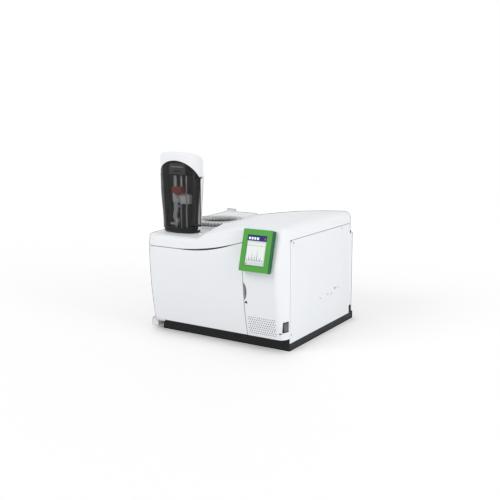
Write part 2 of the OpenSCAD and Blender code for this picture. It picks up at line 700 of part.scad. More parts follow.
// ---------- top ----------
module plate_holes() {
    post(tower_x, tower_y, bearing_neck, 380, 410);
    post(tower_x - needle_out, tower_y, park_hole, 380, 410);
    post(tower_x, tower_y - needle_out, inlet_r, 380, 410);
    for (p = ports) post(p[0], p[1], 8, 380, 410);
    post(carousel_x, carousel_y, 9, 380, 410);
}
module sampler_plate() {
    color(steel) difference() {
        union() {
            box(-312, divider_x + sheet, plate_y, rear_y, plate_z, plate_z + plate_t);
            for (x = [-250, 60], y = [-200, -90]) box(x, x + 16, y, y + 16, casing_z1, plate_z);
        }
        plate_holes();
    }
}
module deck_cover() {
    color(grey_light) difference() {
        union() {
            shell([for (s = deck_stations) section(s, 3, "seam", 0)],
                [for (s = deck_stations) section(s, 3, "seam", wall)]);
            skirt(-1, seam_z);
            well_wall();
        }
        service_area(0, 800);
        post(tower_x, tower_y, hub_hole, 380, 460);
        post(tower_x, tower_y - needle_out, inlet_hole, 380, 460);
        for (p = ports) post(p[0], p[1], port_r + 1, 380, 460);
        post(carousel_x, carousel_y, well_r, 380, 480);
        post(tower_x - needle_out, tower_y, park_hole, 380, 460);
        box(-302, -258, lid_y1 + 4, rear_y, 410, 460);
        box(lid_x0 + 6, lid_x1 - 6, lid_y0 + 6, lid_y1 - 6, 405, 470);
    }
}
// the wall and the raised lip round the carousel's well
module well_wall() {
    difference() {
        union() {
            post(carousel_x, carousel_y, well_r + lip_w, wall_z0, lip_z);
            intersection() {
                post(carousel_x, carousel_y, well_r + lip_w, wall_z0, 480);
                shell([for (x = wall_xs) [for (y = wall_ys) [x, y, top_h(x, y)]]],
                    [for (x = wall_xs) [for (y = wall_ys) [x, y, wall_z0]]]);
            }
        }
        post(carousel_x, carousel_y, well_r, wall_z0 - 1, 481);
    }
}
wall_z0 = 405;
wall_xs = [-125, -100, -92, -84, -78, -70, -55, -30];
wall_ys = [for (y = [-180 : 25 : 70]) y];
module lid_hinge() {
    color(grey_mid) {
        difference() {
            box(-302, -258, lid_y1 + 4, rear_y, lid_hinge_z - 14.5, lid_hinge_z + 8);
            box(-290.5, -269.5, lid_y1 + 3, lid_y1 + 11.5, lid_hinge_z - 15, lid_hinge_z + 9);
        }
        along_x(-291, -269, lid_hinge_y, lid_hinge_z, 1.5);
    }
}
deck_xs = [-225, -190, -155, -125, -108, -100, -92, -84, -76, -68, -60, -52, -44, -34, -20,
    0, 25, 55, 90, 130];
deck_stations = concat(left_stations, [[-W + left_corner, 0, 0]], [for (x = deck_xs) [x, 0, 0]],
    [[split_x - 0.5, 0, 0]]);
cowl_stations = concat(middle(split_x + 0.5, W - right_corner, 6), right_stations);
module skirt(side, z0) {
    c = corner(side);
    s = [0, side, 90];
    translate([side < 0 ? -W : W - wall, 0, 0]) rotate([90, 0, 90]) linear_extrude(wall) polygon(
        concat([[-c[1], z0], [-c[1], knee_pt(s, 90, 0)[2]]],
            [for (u = top_steps) let (p = top_pt(s, u, 0)) [p[1], p[2]]], [[top_rear, z0]]));
}
module service_area(d, r) {
    linear_extrude(r) difference() {
        translate([service_x0 + d, service_y0 + d])
            square([service_x1 - service_x0 - 2 * d, top_rear + 20 - service_y0]);
        translate([service_x1 - service_r, service_y0 + service_r]) difference() {
            translate([0, -service_r]) square([service_r + 1, service_r]);
            circle(r = service_r - d, $fn = 64);
        }
    }
}
module right_cowl() {
    color(grey_light) difference() {
        union() {
            shell([for (s = cowl_stations) section(s, 12, "bottom", 0)],
                [for (s = cowl_stations) section(s, 12, "bottom", wall)]);
            skirt(1, panel_top + 2);
            column_return();
        }
        service_area(0, 800);
        switch_place() box(-20, 12, -14, 14, -20, 20);
        led_place() box(-20, 4, -5, 5, -2, 2);
        grip_scoop();
        along_y(latch_x, -400, -300, latch_z, latch_r + 0.6);
        box(display_x - 46, display_x + 46, -380, -340, tilt_z - 9, tilt_z + 9);
    }
}
module service_cover() {
    color(grey_light) intersection() {
        shell([for (s = service_stations) top_section(s, 0)],
            [for (s = service_stations) top_section(s, wall)]);
        service_area(0.6, 800);
    }
}
service_stations = concat([for (s = deck_stations) if (s[1] == 0 && s[0] > 20) s],
    [for (s = cowl_stations) if (s[1] == 0) s]);
function top_section(s, off) = [for (u = top_steps) top_pt(s, u, off)];
lid_t = 8;
lid_xs = [lid_x0, lid_x0 + 4, -270, -245, -220, -195, -172, -152, lid_x1 - 4, lid_x1];
module rear_lid() {
    color(grey_light) difference() {
        shell([for (x = lid_xs) lid_section(x, true)], [for (x = lid_xs) lid_section(x, false)]);
        box(-290, -270, lid_y1 - 6, lid_y1 + 1, lid_hinge_z - 4, 460);
    }
}
module lid_knuckle() {
    color(grey_mid) difference() {
        union() {
            along_x(-290, -270, lid_hinge_y, lid_hinge_z, 4);
            box(-290, -270, lid_y1 - 6, lid_hinge_y, lid_hinge_z - 4, lid_hinge_z + 1);
        }
        along_x(-291, -269, lid_hinge_y, lid_hinge_z, 1.55);
    }
}
lid_hinge_y = lid_y1 + 6;
lid_hinge_z = 443;
lid_ys = [lid_y0, lid_y0 + 4, lid_y0 + 28, lid_y0 + 54, lid_y0 + 80, lid_y0 + 108, lid_y1 - 4, lid_y1];
function lid_edge(x, y) = (x == lid_x0 || x == lid_x1 || y == lid_y0 || y == lid_y1) ? 3 : 0;
lid_gap = 1.5;
function lid_low(x, y) = max(deck_h(y), top_h(x, y)) + lid_gap;
function lid_section(x, up) = [for (y = lid_ys)
    [x, y, up ? lid_low(x, y) + lid_t - lid_edge(x, y) : lid_low(x, y)]];
module cover_ledge() {
    color(grey_mid) intersection() {
        shell([for (s = service_stations) top_section(s, wall)],
            [for (s = service_stations) top_section(s, wall + 2)]);
        difference() {
            service_area(-6, 800);
            translate([0, 0, -1]) service_area(8, 802);
            box(0, 330, rear_y - 1, top_rear + 30, 0, 800);
        }
    }
}

// ---------- front column ----------
latch_x = 174.8;
latch_z = 187;
latch_r = 4;
grip_z = 229;
module grip_scoop() {
    translate([split_x - 3, -362, grip_z]) scale([17, 24, 37]) sphere(r = 1, $fn = 36);
}
module column_return() {
    translate([split_x + 0.5, 0, 0]) rotate([90, 0, 90]) linear_extrude(wall) polygon(concat(
        [for (i = [0 : 12]) let (z = front_bottom + 0.5 + (406 - front_bottom) * i / 12)
            [-front_f(split_x + 0.5, z) + 1.5, z]],
        [[-298, 406], [-298, front_bottom + 0.5]]));
}
module grip_pocket() {
    color(black) difference() {
        box(split_x + 0.5 + wall, 188, -348, -330, 180, 272);
        grip_scoop();
        along_y(latch_x, -349, -329, latch_z, latch_r + 0.05);
    }
}
module latch_button() {
    color(black) {
        along_y(latch_x, -357, -326, latch_z, latch_r);
        along_y(latch_x, -328, -326, latch_z, latch_r + 1);
    }
}

display_x = W - display_in - display_w / 2;
tilt_y = -364;
tilt_z = 325;
knuckle_r = 4.5;
tilt_pin = 2.5;
module on_display() {
    translate([display_x, -display_out, display_z]) rotate([-display_lean, 0, 0]) children();
}
module rounded(w, h, r) {
    translate([-w / 2 + r, 0]) square([w - 2 * r, h]);
    translate([-w / 2, r]) square([w, h - 2 * r]);
    for (x = [-w / 2 + r, w / 2 - r], z = [r, h - r]) translate([x, z]) circle(r = r);
}
module slab(y0, y1) { translate([0, y1, 0]) rotate([90, 0, 0]) linear_extrude(y1 - y0) children(); }
bezel_t = 5;
module display_housing() {
    color(green) difference() {
        union() {
            on_display() difference() {
                slab(bezel_t, display_t) rounded(display_w, display_h, display_r);
                slab(bezel_t - 1, display_t - 2.5) translate([0, 2.5])
                    rounded(display_w - 5, display_h - 5, display_r - 1.5);
            }
            along_x(display_x - 30, display_x + 30, tilt_y, tilt_z, knuckle_r);
            box(display_x - 30, display_x + 30, tilt_y - 6.7, tilt_y, tilt_z - 4, tilt_z + 4);
        }
        along_x(display_x - 31, display_x + 31, tilt_y, tilt_z, tilt_pin + 0.05);
    }
}
module display_bezel() {
    color(green) on_display() difference() {
        slab(0, bezel_t) rounded(display_w, display_h, display_r);
        slab(-1, bezel_t + 1) translate([0, (display_h - glass_h) / 2]) rounded(glass_w, glass_h, 1);
    }
}
module display_screen() {
    color([0.2, 0.25, 0.4]) on_display() {
        slab(bezel_t, bezel_t + 3) translate([0, (display_h - glass_h) / 2 - 4])
            rounded(glass_w + 8, glass_h + 8, 1);
        slab(1.6, bezel_t) translate([0, (display_h - glass_h) / 2]) rounded(glass_w, glass_h, 1);
        slab(bezel_t + 3, display_t - 2.5) translate([0, display_h / 2 - 20]) rounded(60, 40, 2);
    }
}
module display_bracket() {
    color(black) {
        difference() {
            box(display_x - 46, display_x + 46, -364, -352, tilt_z - 9, tilt_z + 9);
            box(display_x - 44, display_x + 44, -365, -354, tilt_z - 7, tilt_z + 7);
        }
        for (s = [-1, 1]) {
            along_x(display_x + s * 38 - 6, display_x + s * 38 + 6, tilt_y, tilt_z, knuckle_r);
            box(display_x + s * 38 - 6, display_x + s * 38 + 6, tilt_y, -354, tilt_z - 4, tilt_z + 4);
        }
        along_x(display_x - 38, display_x + 38, tilt_y, tilt_z, tilt_pin);
    }
}

module switch_place() { translate([326.2, -313.4, 100.5]) rotate([0, 0, -17.6]) children(); }
module led_place() { translate([312.7, -330.2, 76]) rotate([0, 0, -55]) children(); }
rocker_x = -2;
module power_switch_frame() {
    color(black) switch_place() difference() {
        box(-18, 1.5, -14, 14, -20, 20);
        box(-16, 2, -11, 11, -17.5, 17.5);
        translate([rocker_x, -13, 0]) rotate([-90, 0, 0]) cylinder(r = 1.55, h = 26);
    }
}
module power_rocker() {
    color(grey_mid) switch_place() translate([rocker_x, 0, 0]) rotate([0, -8, 0]) {
        translate([0, 10.5, 0]) rotate([90, 0, 0]) linear_extrude(21)
            polygon([[-9, -5], [-9, 5], [0, 15], [5.5, 15.5], [3.5, 0], [5.5, -15.5], [0, -15]]);
        translate([0, -12.5, 0]) rotate([-90, 0, 0]) cylinder(r = 1.5, h = 25);
    }
}
module status_led() {
    color([0.5, 0.9, 0.6]) led_place() box(-6, 0.6, -5, 5, -2, 2);
}
module main_board() {
    color([0.1, 0.35, 0.2]) {
        box(divider_x + sheet + 8, divider_x + sheet + 9.6, -240, 60, 130, 370);
        for (y = [-230, 50], z = [140, 360]) along_x(divider_x + sheet, divider_x + sheet + 8, y, z, 4);
        for (y = [-200, -120, -20], z = [170, 280])
            box(divider_x + sheet + 9.6, divider_x + sheet + 22, y, y + 44, z, z + 60);
    }
}
module power_supply() {
    color(steel) difference() {
        box(196, 296, -120, 60, pan_z, 118);
        box(198, 294, -118, 58, pan_z + 2, 116);
        for (y = [-100 : 14 : 40]) box(206, 286, y, y + 6, 115, 119);
    }
}

// ---------- autosampler ----------
bearing_neck = 14;
base_z = 419.5;
tower_z0 = base_z + 9;
foot_in = 5;              // how far the tower's sides draw in at its foot
bend_z = 600;             // over this height the tower's levels lean with its top
foot_share = 0.12;        // how much narrower the tower is at its foot
function tower_k(z) = 1 - foot_share * (1 - smooth((z - 430) / 230));
function lean(z, y) = z < bend_z ? z
    : bend_z + (z - bend_z) * (tower_top - (y + tower_b) * tower_slope - bend_z) / (tower_top - bend_z);
function bulge(z) = let (t = (z - 470) / 190) t > 0 && t < 1 ? door_bulge * pow(sin(180 * t), 2) : 0;
function oval(a, b, n) = [for (i = [0 : n - 1]) let (t = 360 * i / n, c = cos(t), s = sin(t))
    [a * sign(c) * pow(abs(c), 0.8), b * sign(s) * pow(abs(s), 0.8)]];
tower_n = 40;
tower_levels = [440, 470, 500, 530, 565, 600, 630, 665, 700];
// the tower's outer form, or with an offset its inner one; out: 1 for the door's bulge, 0 for none
module tower_form(off, z0, out) {
    r = cap_r - off;
    foot = [[z0, foot_in, foot_in * 0.3], [tower_z0 + 3, foot_in * 0.3, foot_in * 0.1], [tower_z0 + 7, 0, 0]];
    rings = concat(foot, [for (z = tower_levels) [z, 0, 0]], [for (a = [0 : 22.5 : 90])
        [tower_top - cap_r + r * sin(a), r * (1 - cos(a)), r * (1 - cos(a))]]);
    m = len(rings);
    n = tower_n;
    polyhedron(points = flat([for (g = rings) let (k = tower_k(g[0]))
            [for (p = oval(tower_a * k - off - g[1],
                    tower_b * (1 + k) / 2 - off - g[2] + out * bulge(g[0]), n))
                [p[0], p[1], lean(g[0], p[1])]]]),
        faces = concat([[for (i = [0 : n - 1]) i]], [[for (i = [0 : n - 1]) (m - 1) * n + n - 1 - i]],
            [for (k = [0 : m - 2], i = [0 : n - 1]) [k * n + i, (k + 1) * n + i, (k + 1) * n + (i + 1) % n]],
            [for (k = [0 : m - 2], i = [0 : n - 1])
                [k * n + i, (k + 1) * n + (i + 1) % n, k * n + (i + 1) % n]]));
}
module at_tower() { translate([tower_x, tower_y, 0]) children(); }
// the part of the tower in front of a depth and under the arch
module front_part(inset, z0, y1, right = 0) {
    a = arch_a - inset;
    translate([0, y1, 0]) rotate([90, 0, 0]) linear_extrude(60) polygon(concat(
        [[-105, z0], [105, z0], [105, arch_z - 30], [a - right, arch_z - 30]],
        [for (t = [0 : 6 : 180]) [(t < 90 ? a - right : a) * cos(t), arch_z + (arch_h - inset) * sin(t)]],
        [[-a, arch_z - 30], [-105, arch_z - 30]]));
}
module tower_skin(out) {
    difference() {
        tower_form(0, tower_z0, out);
        tower_form(wall, tower_z0 - 1, out);
    }
}
shell_y = -6;             // where the shell ends at both sides of the door
module tower_shell() {
    color(grey_light) at_tower() difference() {
        tower_skin(0);
        front_part(0, tower_z0 - 5, shell_y);
        door_lugs();
    }
}
door_z0 = tower_z0 + 2;
door_y = -7.5;
door_axis = [tower_a + 3.5, -14];
door_hinge_z0 = 452;
door_hinge_z1 = 640;
lug_z = [door_hinge_z0 - 6.5, door_hinge_z1 + 0.5];
lug_x = [74, 85];
module tower_door() {
    color(smoke) at_tower() difference() {
        intersection() {
            tower_skin(1);
            front_part(1, door_z0, door_y, 2.5);
        }
        door_flange();
        for (z = lug_z) box(70, 110, -32, 0, z - 1, z + 7);
    }
}
module door_flange() {
    translate([0, 0, door_hinge_z0]) linear_extrude(door_hinge_z1 - door_hinge_z0) polygon([[78, -36],
        [80, -40.5], [94, -34.5], [104.5, -20], [105, -14], [98.5, -14], [97, -20], [90, -29]]);
}
module tower_door_hinge() {
    color(grey_mid) at_tower() difference() {
        union() {
            door_flange();
            post(door_axis[0], door_axis[1], 4, door_hinge_z0, door_hinge_z1);
        }
        post(door_axis[0], door_axis[1], 2.05, door_hinge_z0 - 1, door_hinge_z1 + 1);
    }
}
module door_lugs() {
    for (i = [0, 1]) {
        box(lug_x[i], door_axis[0], door_axis[1] - 3, door_y, lug_z[i], lug_z[i] + 6);
        box(lug_x[i], lug_x[i] + 15, door_y, 3, lug_z[i], lug_z[i] + 6);
    }
}
module tower_door_pin() {
    color(grey_mid) at_tower() {
        for (z = lug_z) post(door_axis[0], door_axis[1], 4, z, z + 6);
        door_lugs();
        post(door_axis[0], door_axis[1], 2, door_hinge_z0 - 6, door_hinge_z1 + 6);
    }
}
module turntable() {
    k = tower_k(tower_z0);
    a = tower_a * k - foot_in;
    b = tower_b * (1 + k) / 2 - foot_in * 0.3;
    color(black) at_tower() difference() {
        union() {
            post(0, 0, 9, 384, 404);
            post(0, 0, hub_r, 404, base_z);
            translate([0, 0, base_z]) linear_extrude(tower_z0 - base_z) polygon(oval(a, b, tower_n));
            translate([0, 0, tower_z0]) linear_extrude(5)
                polygon(oval(a - wall - 0.5, b - wall - 0.5, tower_n));
        }
        post(0, -needle_out, 3, base_z - 1, tower_floor + 1);
    }
}
tower_floor = tower_z0 + 5;
module tower_bearing() {
    color(steel) difference() {
        union() {
            post(tower_x, tower_y, 20, 382, plate_z);
            post(tower_x, tower_y, bearing_neck, plate_z, 404);
        }
        post(tower_x, tower_y, 9.05, 381, 405);
    }
}
rod_x = 28;
rod_y = -6;
rod_r = 3.5;
head_z = 650;
module tower_spine() {
    color(black) at_tower() translate([0, 26, 0]) rotate([90, 0, 0]) linear_extrude(4)
        polygon([[-64, tower_floor], [64, tower_floor], [64, 470], [78, 620], [78, 700],
            [-78, 700], [-78, 620], [-64, 470]]);
}
module tower_head() {
    color(black) at_tower() {
        box(-44, 44, -30, 22, head_z, 696);
        along_x(-20, 20, -6, 702, 6);
    }
}
module guide_rods() {
    color(steel) at_tower() for (x = [-rod_x, rod_x]) post(x, rod_y, rod_r, tower_floor, head_z);
}
module lead_screw() {
    color(steel) at_tower() post(0, rod_y, 3, tower_floor, head_z);
}
module needle_guide() {
    color(steel) at_tower() difference() {
        union() {
            post(0, -needle_out, 4, 448, 456);
            box(-34, 0, -35, -28, 448, 456);
            box(-34, -21, -35, 2, 448, 456);
        }
        post(0, -needle_out, 1.2, 447, 457);
        post(-rod_x, rod_y, rod_r, 447, 457);
    }
}
module foot_block() {
    color(grey_light) at_tower() difference() {
        box(-36, -18, -14, 22, 470, 495);
        post(-rod_x, rod_y, rod_r, 469, 496);
    }
}
clamp_z = 545;
slide_x = 14;             // the posts that the plunger's block slides on
slide_y = -20;
slide_r = 2.5;
module syringe_carriage() {
    color(grey_light) at_tower() difference() {
        union() {
            box(-36, 36, -16, 6, 540, 575);
            box(36, 50, -18, 6, 535, 570);
            box(-8, 8, -39, -16, clamp_z, clamp_z + 8);
            box(-18, 18, -24, -16, 567, 575);
            for (x = [-slide_x, slide_x]) post(x, slide_y, slide_r, 570, 645);
        }
        for (x = [-rod_x, rod_x]) post(x, rod_y, rod_r + 0.05, 530, 580);
        post(0, rod_y, 3.3, 530, 580);
        post(0, -needle_out, 4, clamp_z - 1, clamp_z + 9);
    }
}
module syringe() {
    color(steel) at_tower() translate([0, -needle_out, 0]) difference() {
        union() {
            post(0, 0, 4, 507, 562);
            post(0, 0, 4.3, 503, 507);
            post(0, 0, 0.5, 434, 503);
            post(0, 0, 4.8, clamp_z - 2, clamp_z);
        }
        post(0, 0, 2, 512, 563);
    }
}
module plunger_carriage() {
    color([0.55, 0.2, 0.15]) at_tower() {
        difference() {
            box(-22, 22, -38, -12, 580, 604);
            for (x = [-slide_x, slide_x]) post(x, slide_y, slide_r + 0.05, 579, 605);
        }
        post(0, -needle_out, 1.9, 515, 588);
    }
}
tray_z = 408;
tray_top = 432;
module carousel_well() {
    color(black) difference() {
        post(carousel_x, carousel_y, well_r - 0.5, plate_z + plate_t, 412);
        post(carousel_x, carousel_y, tray_r + 1, plate_z + plate_t + 2, 413);
        post(carousel_x, carousel_y, 12, 400, 413);
    }
}
module carousel_bearing() {
    color(steel) difference() {
        union() {
            post(carousel_x, carousel_y, 18, 384, plate_z);
            post(carousel_x, carousel_y, 9, plate_z, plate_z + plate_t);
        }
        post(carousel_x, carousel_y, 6.05, 383, 410);
    }
}
module at_carousel() { translate([carousel_x, carousel_y, 0]) children(); }
module ring_of(n, r) { for (i = [0 : n - 1]) rotate([0, 0, i * 360 / n]) translate([r, 0, 0]) children(); }
module each_vial() {
    ring_of(outer_vials, outer_ring) children();
    ring_of(inner_vials, inner_ring) children();
}
module carousel_tray() {
    color(black) at_carousel() difference() {
        union() {
            post(0, 0, 6, 385, tray_z);
            post(0, 0, tray_r, tray_z, tray_z + 3);
            post(0, 0, 26, tray_z + 3, tray_top + 3);
            difference() {
                post(0, 0, tray_r, tray_z + 3, tray_top);
                post(0, 0, tray_r - 2, tray_z + 2, tray_top + 1);
            }
            post(0, 0, tray_r, tray_top - 4, tray_top);
        }
        each_vial() post(0, 0, vial_r + 0.2, tray_top - 5, tray_top + 1);
        post(0, 0, 40, tray_top - 1, tray_top + 5);
    }
    color(black) at_carousel() difference() {
        post(0, 0, 30, tray_top - 1, tray_top + 3);
        post(0, 0, 22, tray_top, tray_top + 4);
    }
}
module vials() {
    color([0.75, 0.8, 0.8]) at_carousel() each_vial() {
        post(0, 0, vial_r, tray_z + 3, tray_z + 3 + vial_h - 5);
        post(0, 0, 4, tray_z + 3 + vial_h - 5, tray_z + 3 + vial_h);
    }
}
module vial_caps() {
    color(white) at_carousel() each_vial() post(0, 0, 5.5, tray_z + 3 + vial_h, tray_z + 3 + vial_h + 6);
}

// ---------- pieces that are kept as one node ----------
module rubber_parts() {
    rubber_pads();
    rear_bumpers();
}
module chassis() {
    chassis_pan();
    divider_wall();
}
module frame_rails() {
    deck_posts();
    side_rail();
}
module inlet_socket() {
    power_inlet();
    power_pins();
}
module gas_module() {
    gas_manifold();
    gas_fittings();
}
module fan_wheel() {
    oven_fan();
    fan_shaft();
}
module baffle_hanger() {
    fan_baffle();
    column_hanger();
}
module inlets() {
    injector();
    side_ports();
}
module display_case() {
    display_housing();
    display_bezel();
}
module electronics() {
    main_board();
    power_supply();
}
module tower_frame() {
    tower_spine();
    tower_head();
}
module tower_rods() {
    guide_rods();
    lead_screw();
}
module needle_rest() {
    needle_guide();
    foot_block();
}
module sampler_bearings() {
    tower_bearing();
    carousel_bearing();
    carousel_well();
}
module tower_base() {
    turntable();
    tower_door_pin();
}

rubber_parts();
base_plinth();
chassis();
frame_rails();
left_side_panel();
right_side_panel();
panel_screws();
rear_panel();
rear_shroud();
exhaust_duct();
vent_flap();
inlet_socket();
gas_module();
oven_casing();
oven_insulation();
oven_liner();
fan_wheel();
fan_motor();
heater_coil();
baffle_hanger();
capillary_column();
inlets();
port_caps();
door_skin();
door_pan();
door_insulation();
door_seal();
door_arms();
hinge_blocks();
sampler_plate();
deck_cover();
lid_hinge();
right_cowl();
service_cover();
rear_lid();
lid_knuckle();
cover_ledge();
grip_pocket();
latch_button();
display_case();
display_screen();
display_bracket();
power_switch_frame();
power_rocker();
status_led();
electronics();
tower_shell();
tower_door();
tower_door_hinge();
tower_base();
tower_frame();
tower_rods();
needle_rest();
syringe_carriage();
syringe();
plunger_carriage();
sampler_bearings();
carousel_tray();
vials();
vial_caps();
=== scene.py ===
"""Looks of the bench gas chromatograph round its CAD frame: moulded skins, finishes, light and camera."""

import json
import math

import bmesh
import bpy
from mathutils import Matrix, Vector


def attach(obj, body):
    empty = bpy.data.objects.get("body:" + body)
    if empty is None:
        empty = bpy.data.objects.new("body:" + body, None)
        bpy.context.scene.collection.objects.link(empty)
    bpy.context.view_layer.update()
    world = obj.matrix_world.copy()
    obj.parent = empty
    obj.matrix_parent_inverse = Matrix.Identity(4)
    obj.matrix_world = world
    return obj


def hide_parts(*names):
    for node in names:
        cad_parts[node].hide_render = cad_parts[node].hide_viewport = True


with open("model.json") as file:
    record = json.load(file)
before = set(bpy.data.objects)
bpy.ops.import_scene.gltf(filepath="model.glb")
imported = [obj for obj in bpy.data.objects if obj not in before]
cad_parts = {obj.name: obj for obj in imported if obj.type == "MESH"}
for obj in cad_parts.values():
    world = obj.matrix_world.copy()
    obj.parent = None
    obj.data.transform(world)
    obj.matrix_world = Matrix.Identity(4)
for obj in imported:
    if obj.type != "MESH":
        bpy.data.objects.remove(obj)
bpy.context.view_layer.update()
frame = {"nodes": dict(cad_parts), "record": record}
MM = 0.001

# ---------- sizes of the body, in millimetres ----------
HALF_W = 330
FRONT_REACH = 365
BELLY_Z, BELLY_R = 345, 1150
CROWN_R = 260
FLAT_Z = 331
FACE_LEAN = math.radians(15)
FRONT_BOTTOM = 50
COLUMN_W = 164
SPLIT_X = HALF_W - COLUMN_W
DOOR_GAP = 2.5
SEAM_Z, SEAM_CURVE = 367, 0.00049
FINGER_GAP = 4.5
WALL = 3
CORNERS = {-1: (70, 271, 14), 1: (28, 288, 22)}  # width, where it ends in depth, drop of the top
LEFT_SWEEP = 19
KNEE_Y, KNEE_Z, KNEE_BACK = 25, 18, 335
DECK_Z, DECK_RISE = 415, 18
RIDGE_Z, RIDGE_DROP, RIDGE_Y, RIDGE_HALF = 487, 10, -20, 310
FLANK_X, FLANK_W, FLANK_STEP, FLANK_FOOT = -100, 250, 0.38, 22
FLANK_SHIFT, FLANK_BACK, CREST_BACK = 30, 60, 160
FOOT_SPREAD = 42
TOP_REAR = 243
REAR_Y = 240
PANEL_TOP = 429
TOWER = (-200, -255)
TOWER_A, TOWER_B, TOWER_TOP, TOWER_Z0, TOWER_SLOPE, CAP_R = 98, 48, 752, 428.5, 0.45, 14
FOOT_IN = 5
ARCH_A, ARCH_Z, ARCH_H = 97, 640, 72
DOOR_BULGE = 5
CAROUSEL = (-155, -52)
WELL_R, LIP_W, LIP_Z, WALL_Z0 = 113, 5, 430, 405
PORTS = ((-92, -272), (-96, -203))
SERVICE = (58, 268, -200, 45)  # left, right, front and corner radius
LID = (-300, -132, 78, 226)
SERVICE_GAP = 0.6


def smooth(t):
    c = max(0.0, min(1.0, t))
    return c * c * (3 - 2 * c)


def curve_f(z):
    if z < BELLY_Z:
        return FRONT_REACH - (BELLY_Z - z) ** 2 / (2 * BELLY_R)
    return FRONT_REACH - (z - BELLY_Z) ** 2 / (2 * CROWN_R)


def front_f(x, z):
    """Distance from the middle to the front surface."""
    a = curve_f(z)
    b = a
    if z > FLAT_Z:
        b = min(a, curve_f(FLAT_Z) - (z - FLAT_Z) * math.tan(FACE_LEAN))
    return a + (b - a) * smooth((x - 60) / (SPLIT_X - 60))


def deck_h(y):
    return DECK_Z + DECK_RISE * (y + 300) / 540


def ridge_h(y):
    return RIDGE_Z - RIDGE_DROP * ((y - RIDGE_Y) / RIDGE_HALF) ** 2


def flank(y):
    lead = FLANK_SHIFT * smooth((-y - 200) / 140)
    back = (max(0, y) / 250) ** 2
    return FLANK_X + lead + FLANK_BACK * back, FLANK_X + FLANK_W + lead + CREST_BACK * back


def top_h(x, y):
    """Height of the top surface."""
    a, b = flank(y)
    foot = FLANK_FOOT + FOOT_SPREAD * smooth((-y - 120) / 90)
    p = FLANK_STEP * smooth((x - a) / foot) + (1 - FLANK_STEP) * smooth((x - a) / (b - a))
    return deck_h(y) + (ridge_h(y) - deck_h(y)) * p


def seam(x):
    return SEAM_Z + SEAM_CURVE * max(0, x + HALF_W / 2) ** 2


def door_top(x):
    return seam(x) - DOOR_GAP - FINGER_GAP * max(0, 1 - ((x + 14) / 127) ** 2)


# A station is (x, side, angle): side -1 or 1 goes round a corner by angle; 0 is the flat middle.
def st_x(s, off):
    if s[1] == 0:
        return s[0]
    w = CORNERS[s[1]][0]
    return s[1] * (HALF_W - w + (w - off) * math.sin(s[2]))


def corner(s):
    return CORNERS[-1 if s[1] < 0 else 1]


def corner_end(side, z):
    """Where a corner ends in depth: the left one's end moves to the back under the belly."""
    if side > 0:
        return CORNERS[1][1]
    return CORNERS[-1][1] - LEFT_SWEEP * max(0, (BELLY_Z - z) / (BELLY_Z - FRONT_BOTTOM)) ** 1.5


def front_pt(s, z, off):
    x, y0 = st_x(s, off), corner_end(s[1], z)
    return (x, -(y0 + (front_f(x, z) - y0 - off) * math.cos(s[2])), z)


def knee_top(s):
    c = corner(s)
    return top_h(st_x(s, 0), -KNEE_BACK) - c[2] + (c[2] - KNEE_Z) * math.cos(s[2])


def knee_f(s):
    return front_f(st_x(s, 0), knee_top(s))


def knee_pt(s, b, off):
    c, x = corner(s), st_x(s, off)
    y = -(c[1] + (knee_f(s) - KNEE_Y + (KNEE_Y - off) * math.cos(b) - c[1]) * math.cos(s[2]))
    top = top_h(x, min(y, -KNEE_BACK + KNEE_Y * math.sin(b)))
    return (x, y, top - c[2] + (c[2] - KNEE_Z + (KNEE_Z - off) * math.sin(b)) * math.cos(s[2]))


def top_pt(s, u, off):
    c, x = corner(s), st_x(s, off)
    y1 = -(c[1] + (knee_f(s) - KNEE_Y - c[1]) * math.cos(s[2]))
    y = y1 + (TOP_REAR - y1) * u
    return (x, y, top_h(x, y) - c[2] + (c[2] - off) * math.cos(s[2]))


def section(s, n, low, off):
    pts = [front_pt(s, low + (knee_top(s) - low) * i / n, off) for i in range(n + 1)]
    pts += [knee_pt(s, math.radians(9 * i), off) for i in range(1, 11)]
    return pts + [top_pt(s, i / 64, off) for i in range(1, 65)]


def middle(x0, x1, step=7):
    n = max(2, round((x1 - x0) / step))
    return [(x0 + (x1 - x0) * i / n, 0, 0.0) for i in range(n + 1)]


LEFT = [(0, -1, math.radians(a)) for a in range(90, 0, -6)]
RIGHT = [(0, 1, math.radians(a)) for a in range(6, 91, 6)]


# ---------- mesh helpers ----------
def new_mesh(name, verts, faces):
    mesh = bpy.data.meshes.new(name)
    mesh.from_pydata([tuple(c * MM for c in v) for v in verts], [], faces)
    mesh.validate()
    obj = bpy.data.objects.new(name, mesh)
    bpy.context.scene.collection.objects.link(obj)
    bm = bmesh.new()
    bm.from_mesh(mesh)
    bmesh.ops.recalc_face_normals(bm, faces=bm.faces)
    bm.to_mesh(mesh)
    bm.free()
    return obj


def shell(name, outer, inner):
    """A closed shell between two grids of points."""
    m, n = len(outer), len(outer[0])
    k = m * n
    verts = [p for row in outer for p in row] + [p for row in inner for p in row]
    faces = []
    for i in range(m - 1):
        for j in range(n - 1):
            a, b, c, d = i * n + j, (i + 1) * n + j, (i + 1) * n + j + 1, i * n + j + 1
            faces += [(a, d, c, b), (k + a, k + b, k + c, k + d)]
    for j in range(n - 1):
        faces.append((j, k + j, k + j + 1, j + 1))
        a = (m - 1) * n + j
        faces.append((a, a + 1, k + a + 1, k + a))
    for i in range(m - 1):
        a, b = i * n, (i + 1) * n
        faces.append((a, b, k + b, k + a))
        faces.append((b + n - 1, a + n - 1, k + a + n - 1, k + b + n - 1))
    return new_mesh(name, verts, faces)


def prism(name, outline, z0, z1):
    n = len(outline)
    verts = [(x, y, z0) for x, y in outline] + [(x, y, z1) for x, y in outline]
    faces = [tuple(range(n - 1, -1, -1)), tuple(range(n, 2 * n))]
    faces += [(i, (i + 1) % n, n + (i + 1) % n, n + i) for i in range(n)]
    return new_mesh(name, verts, faces)


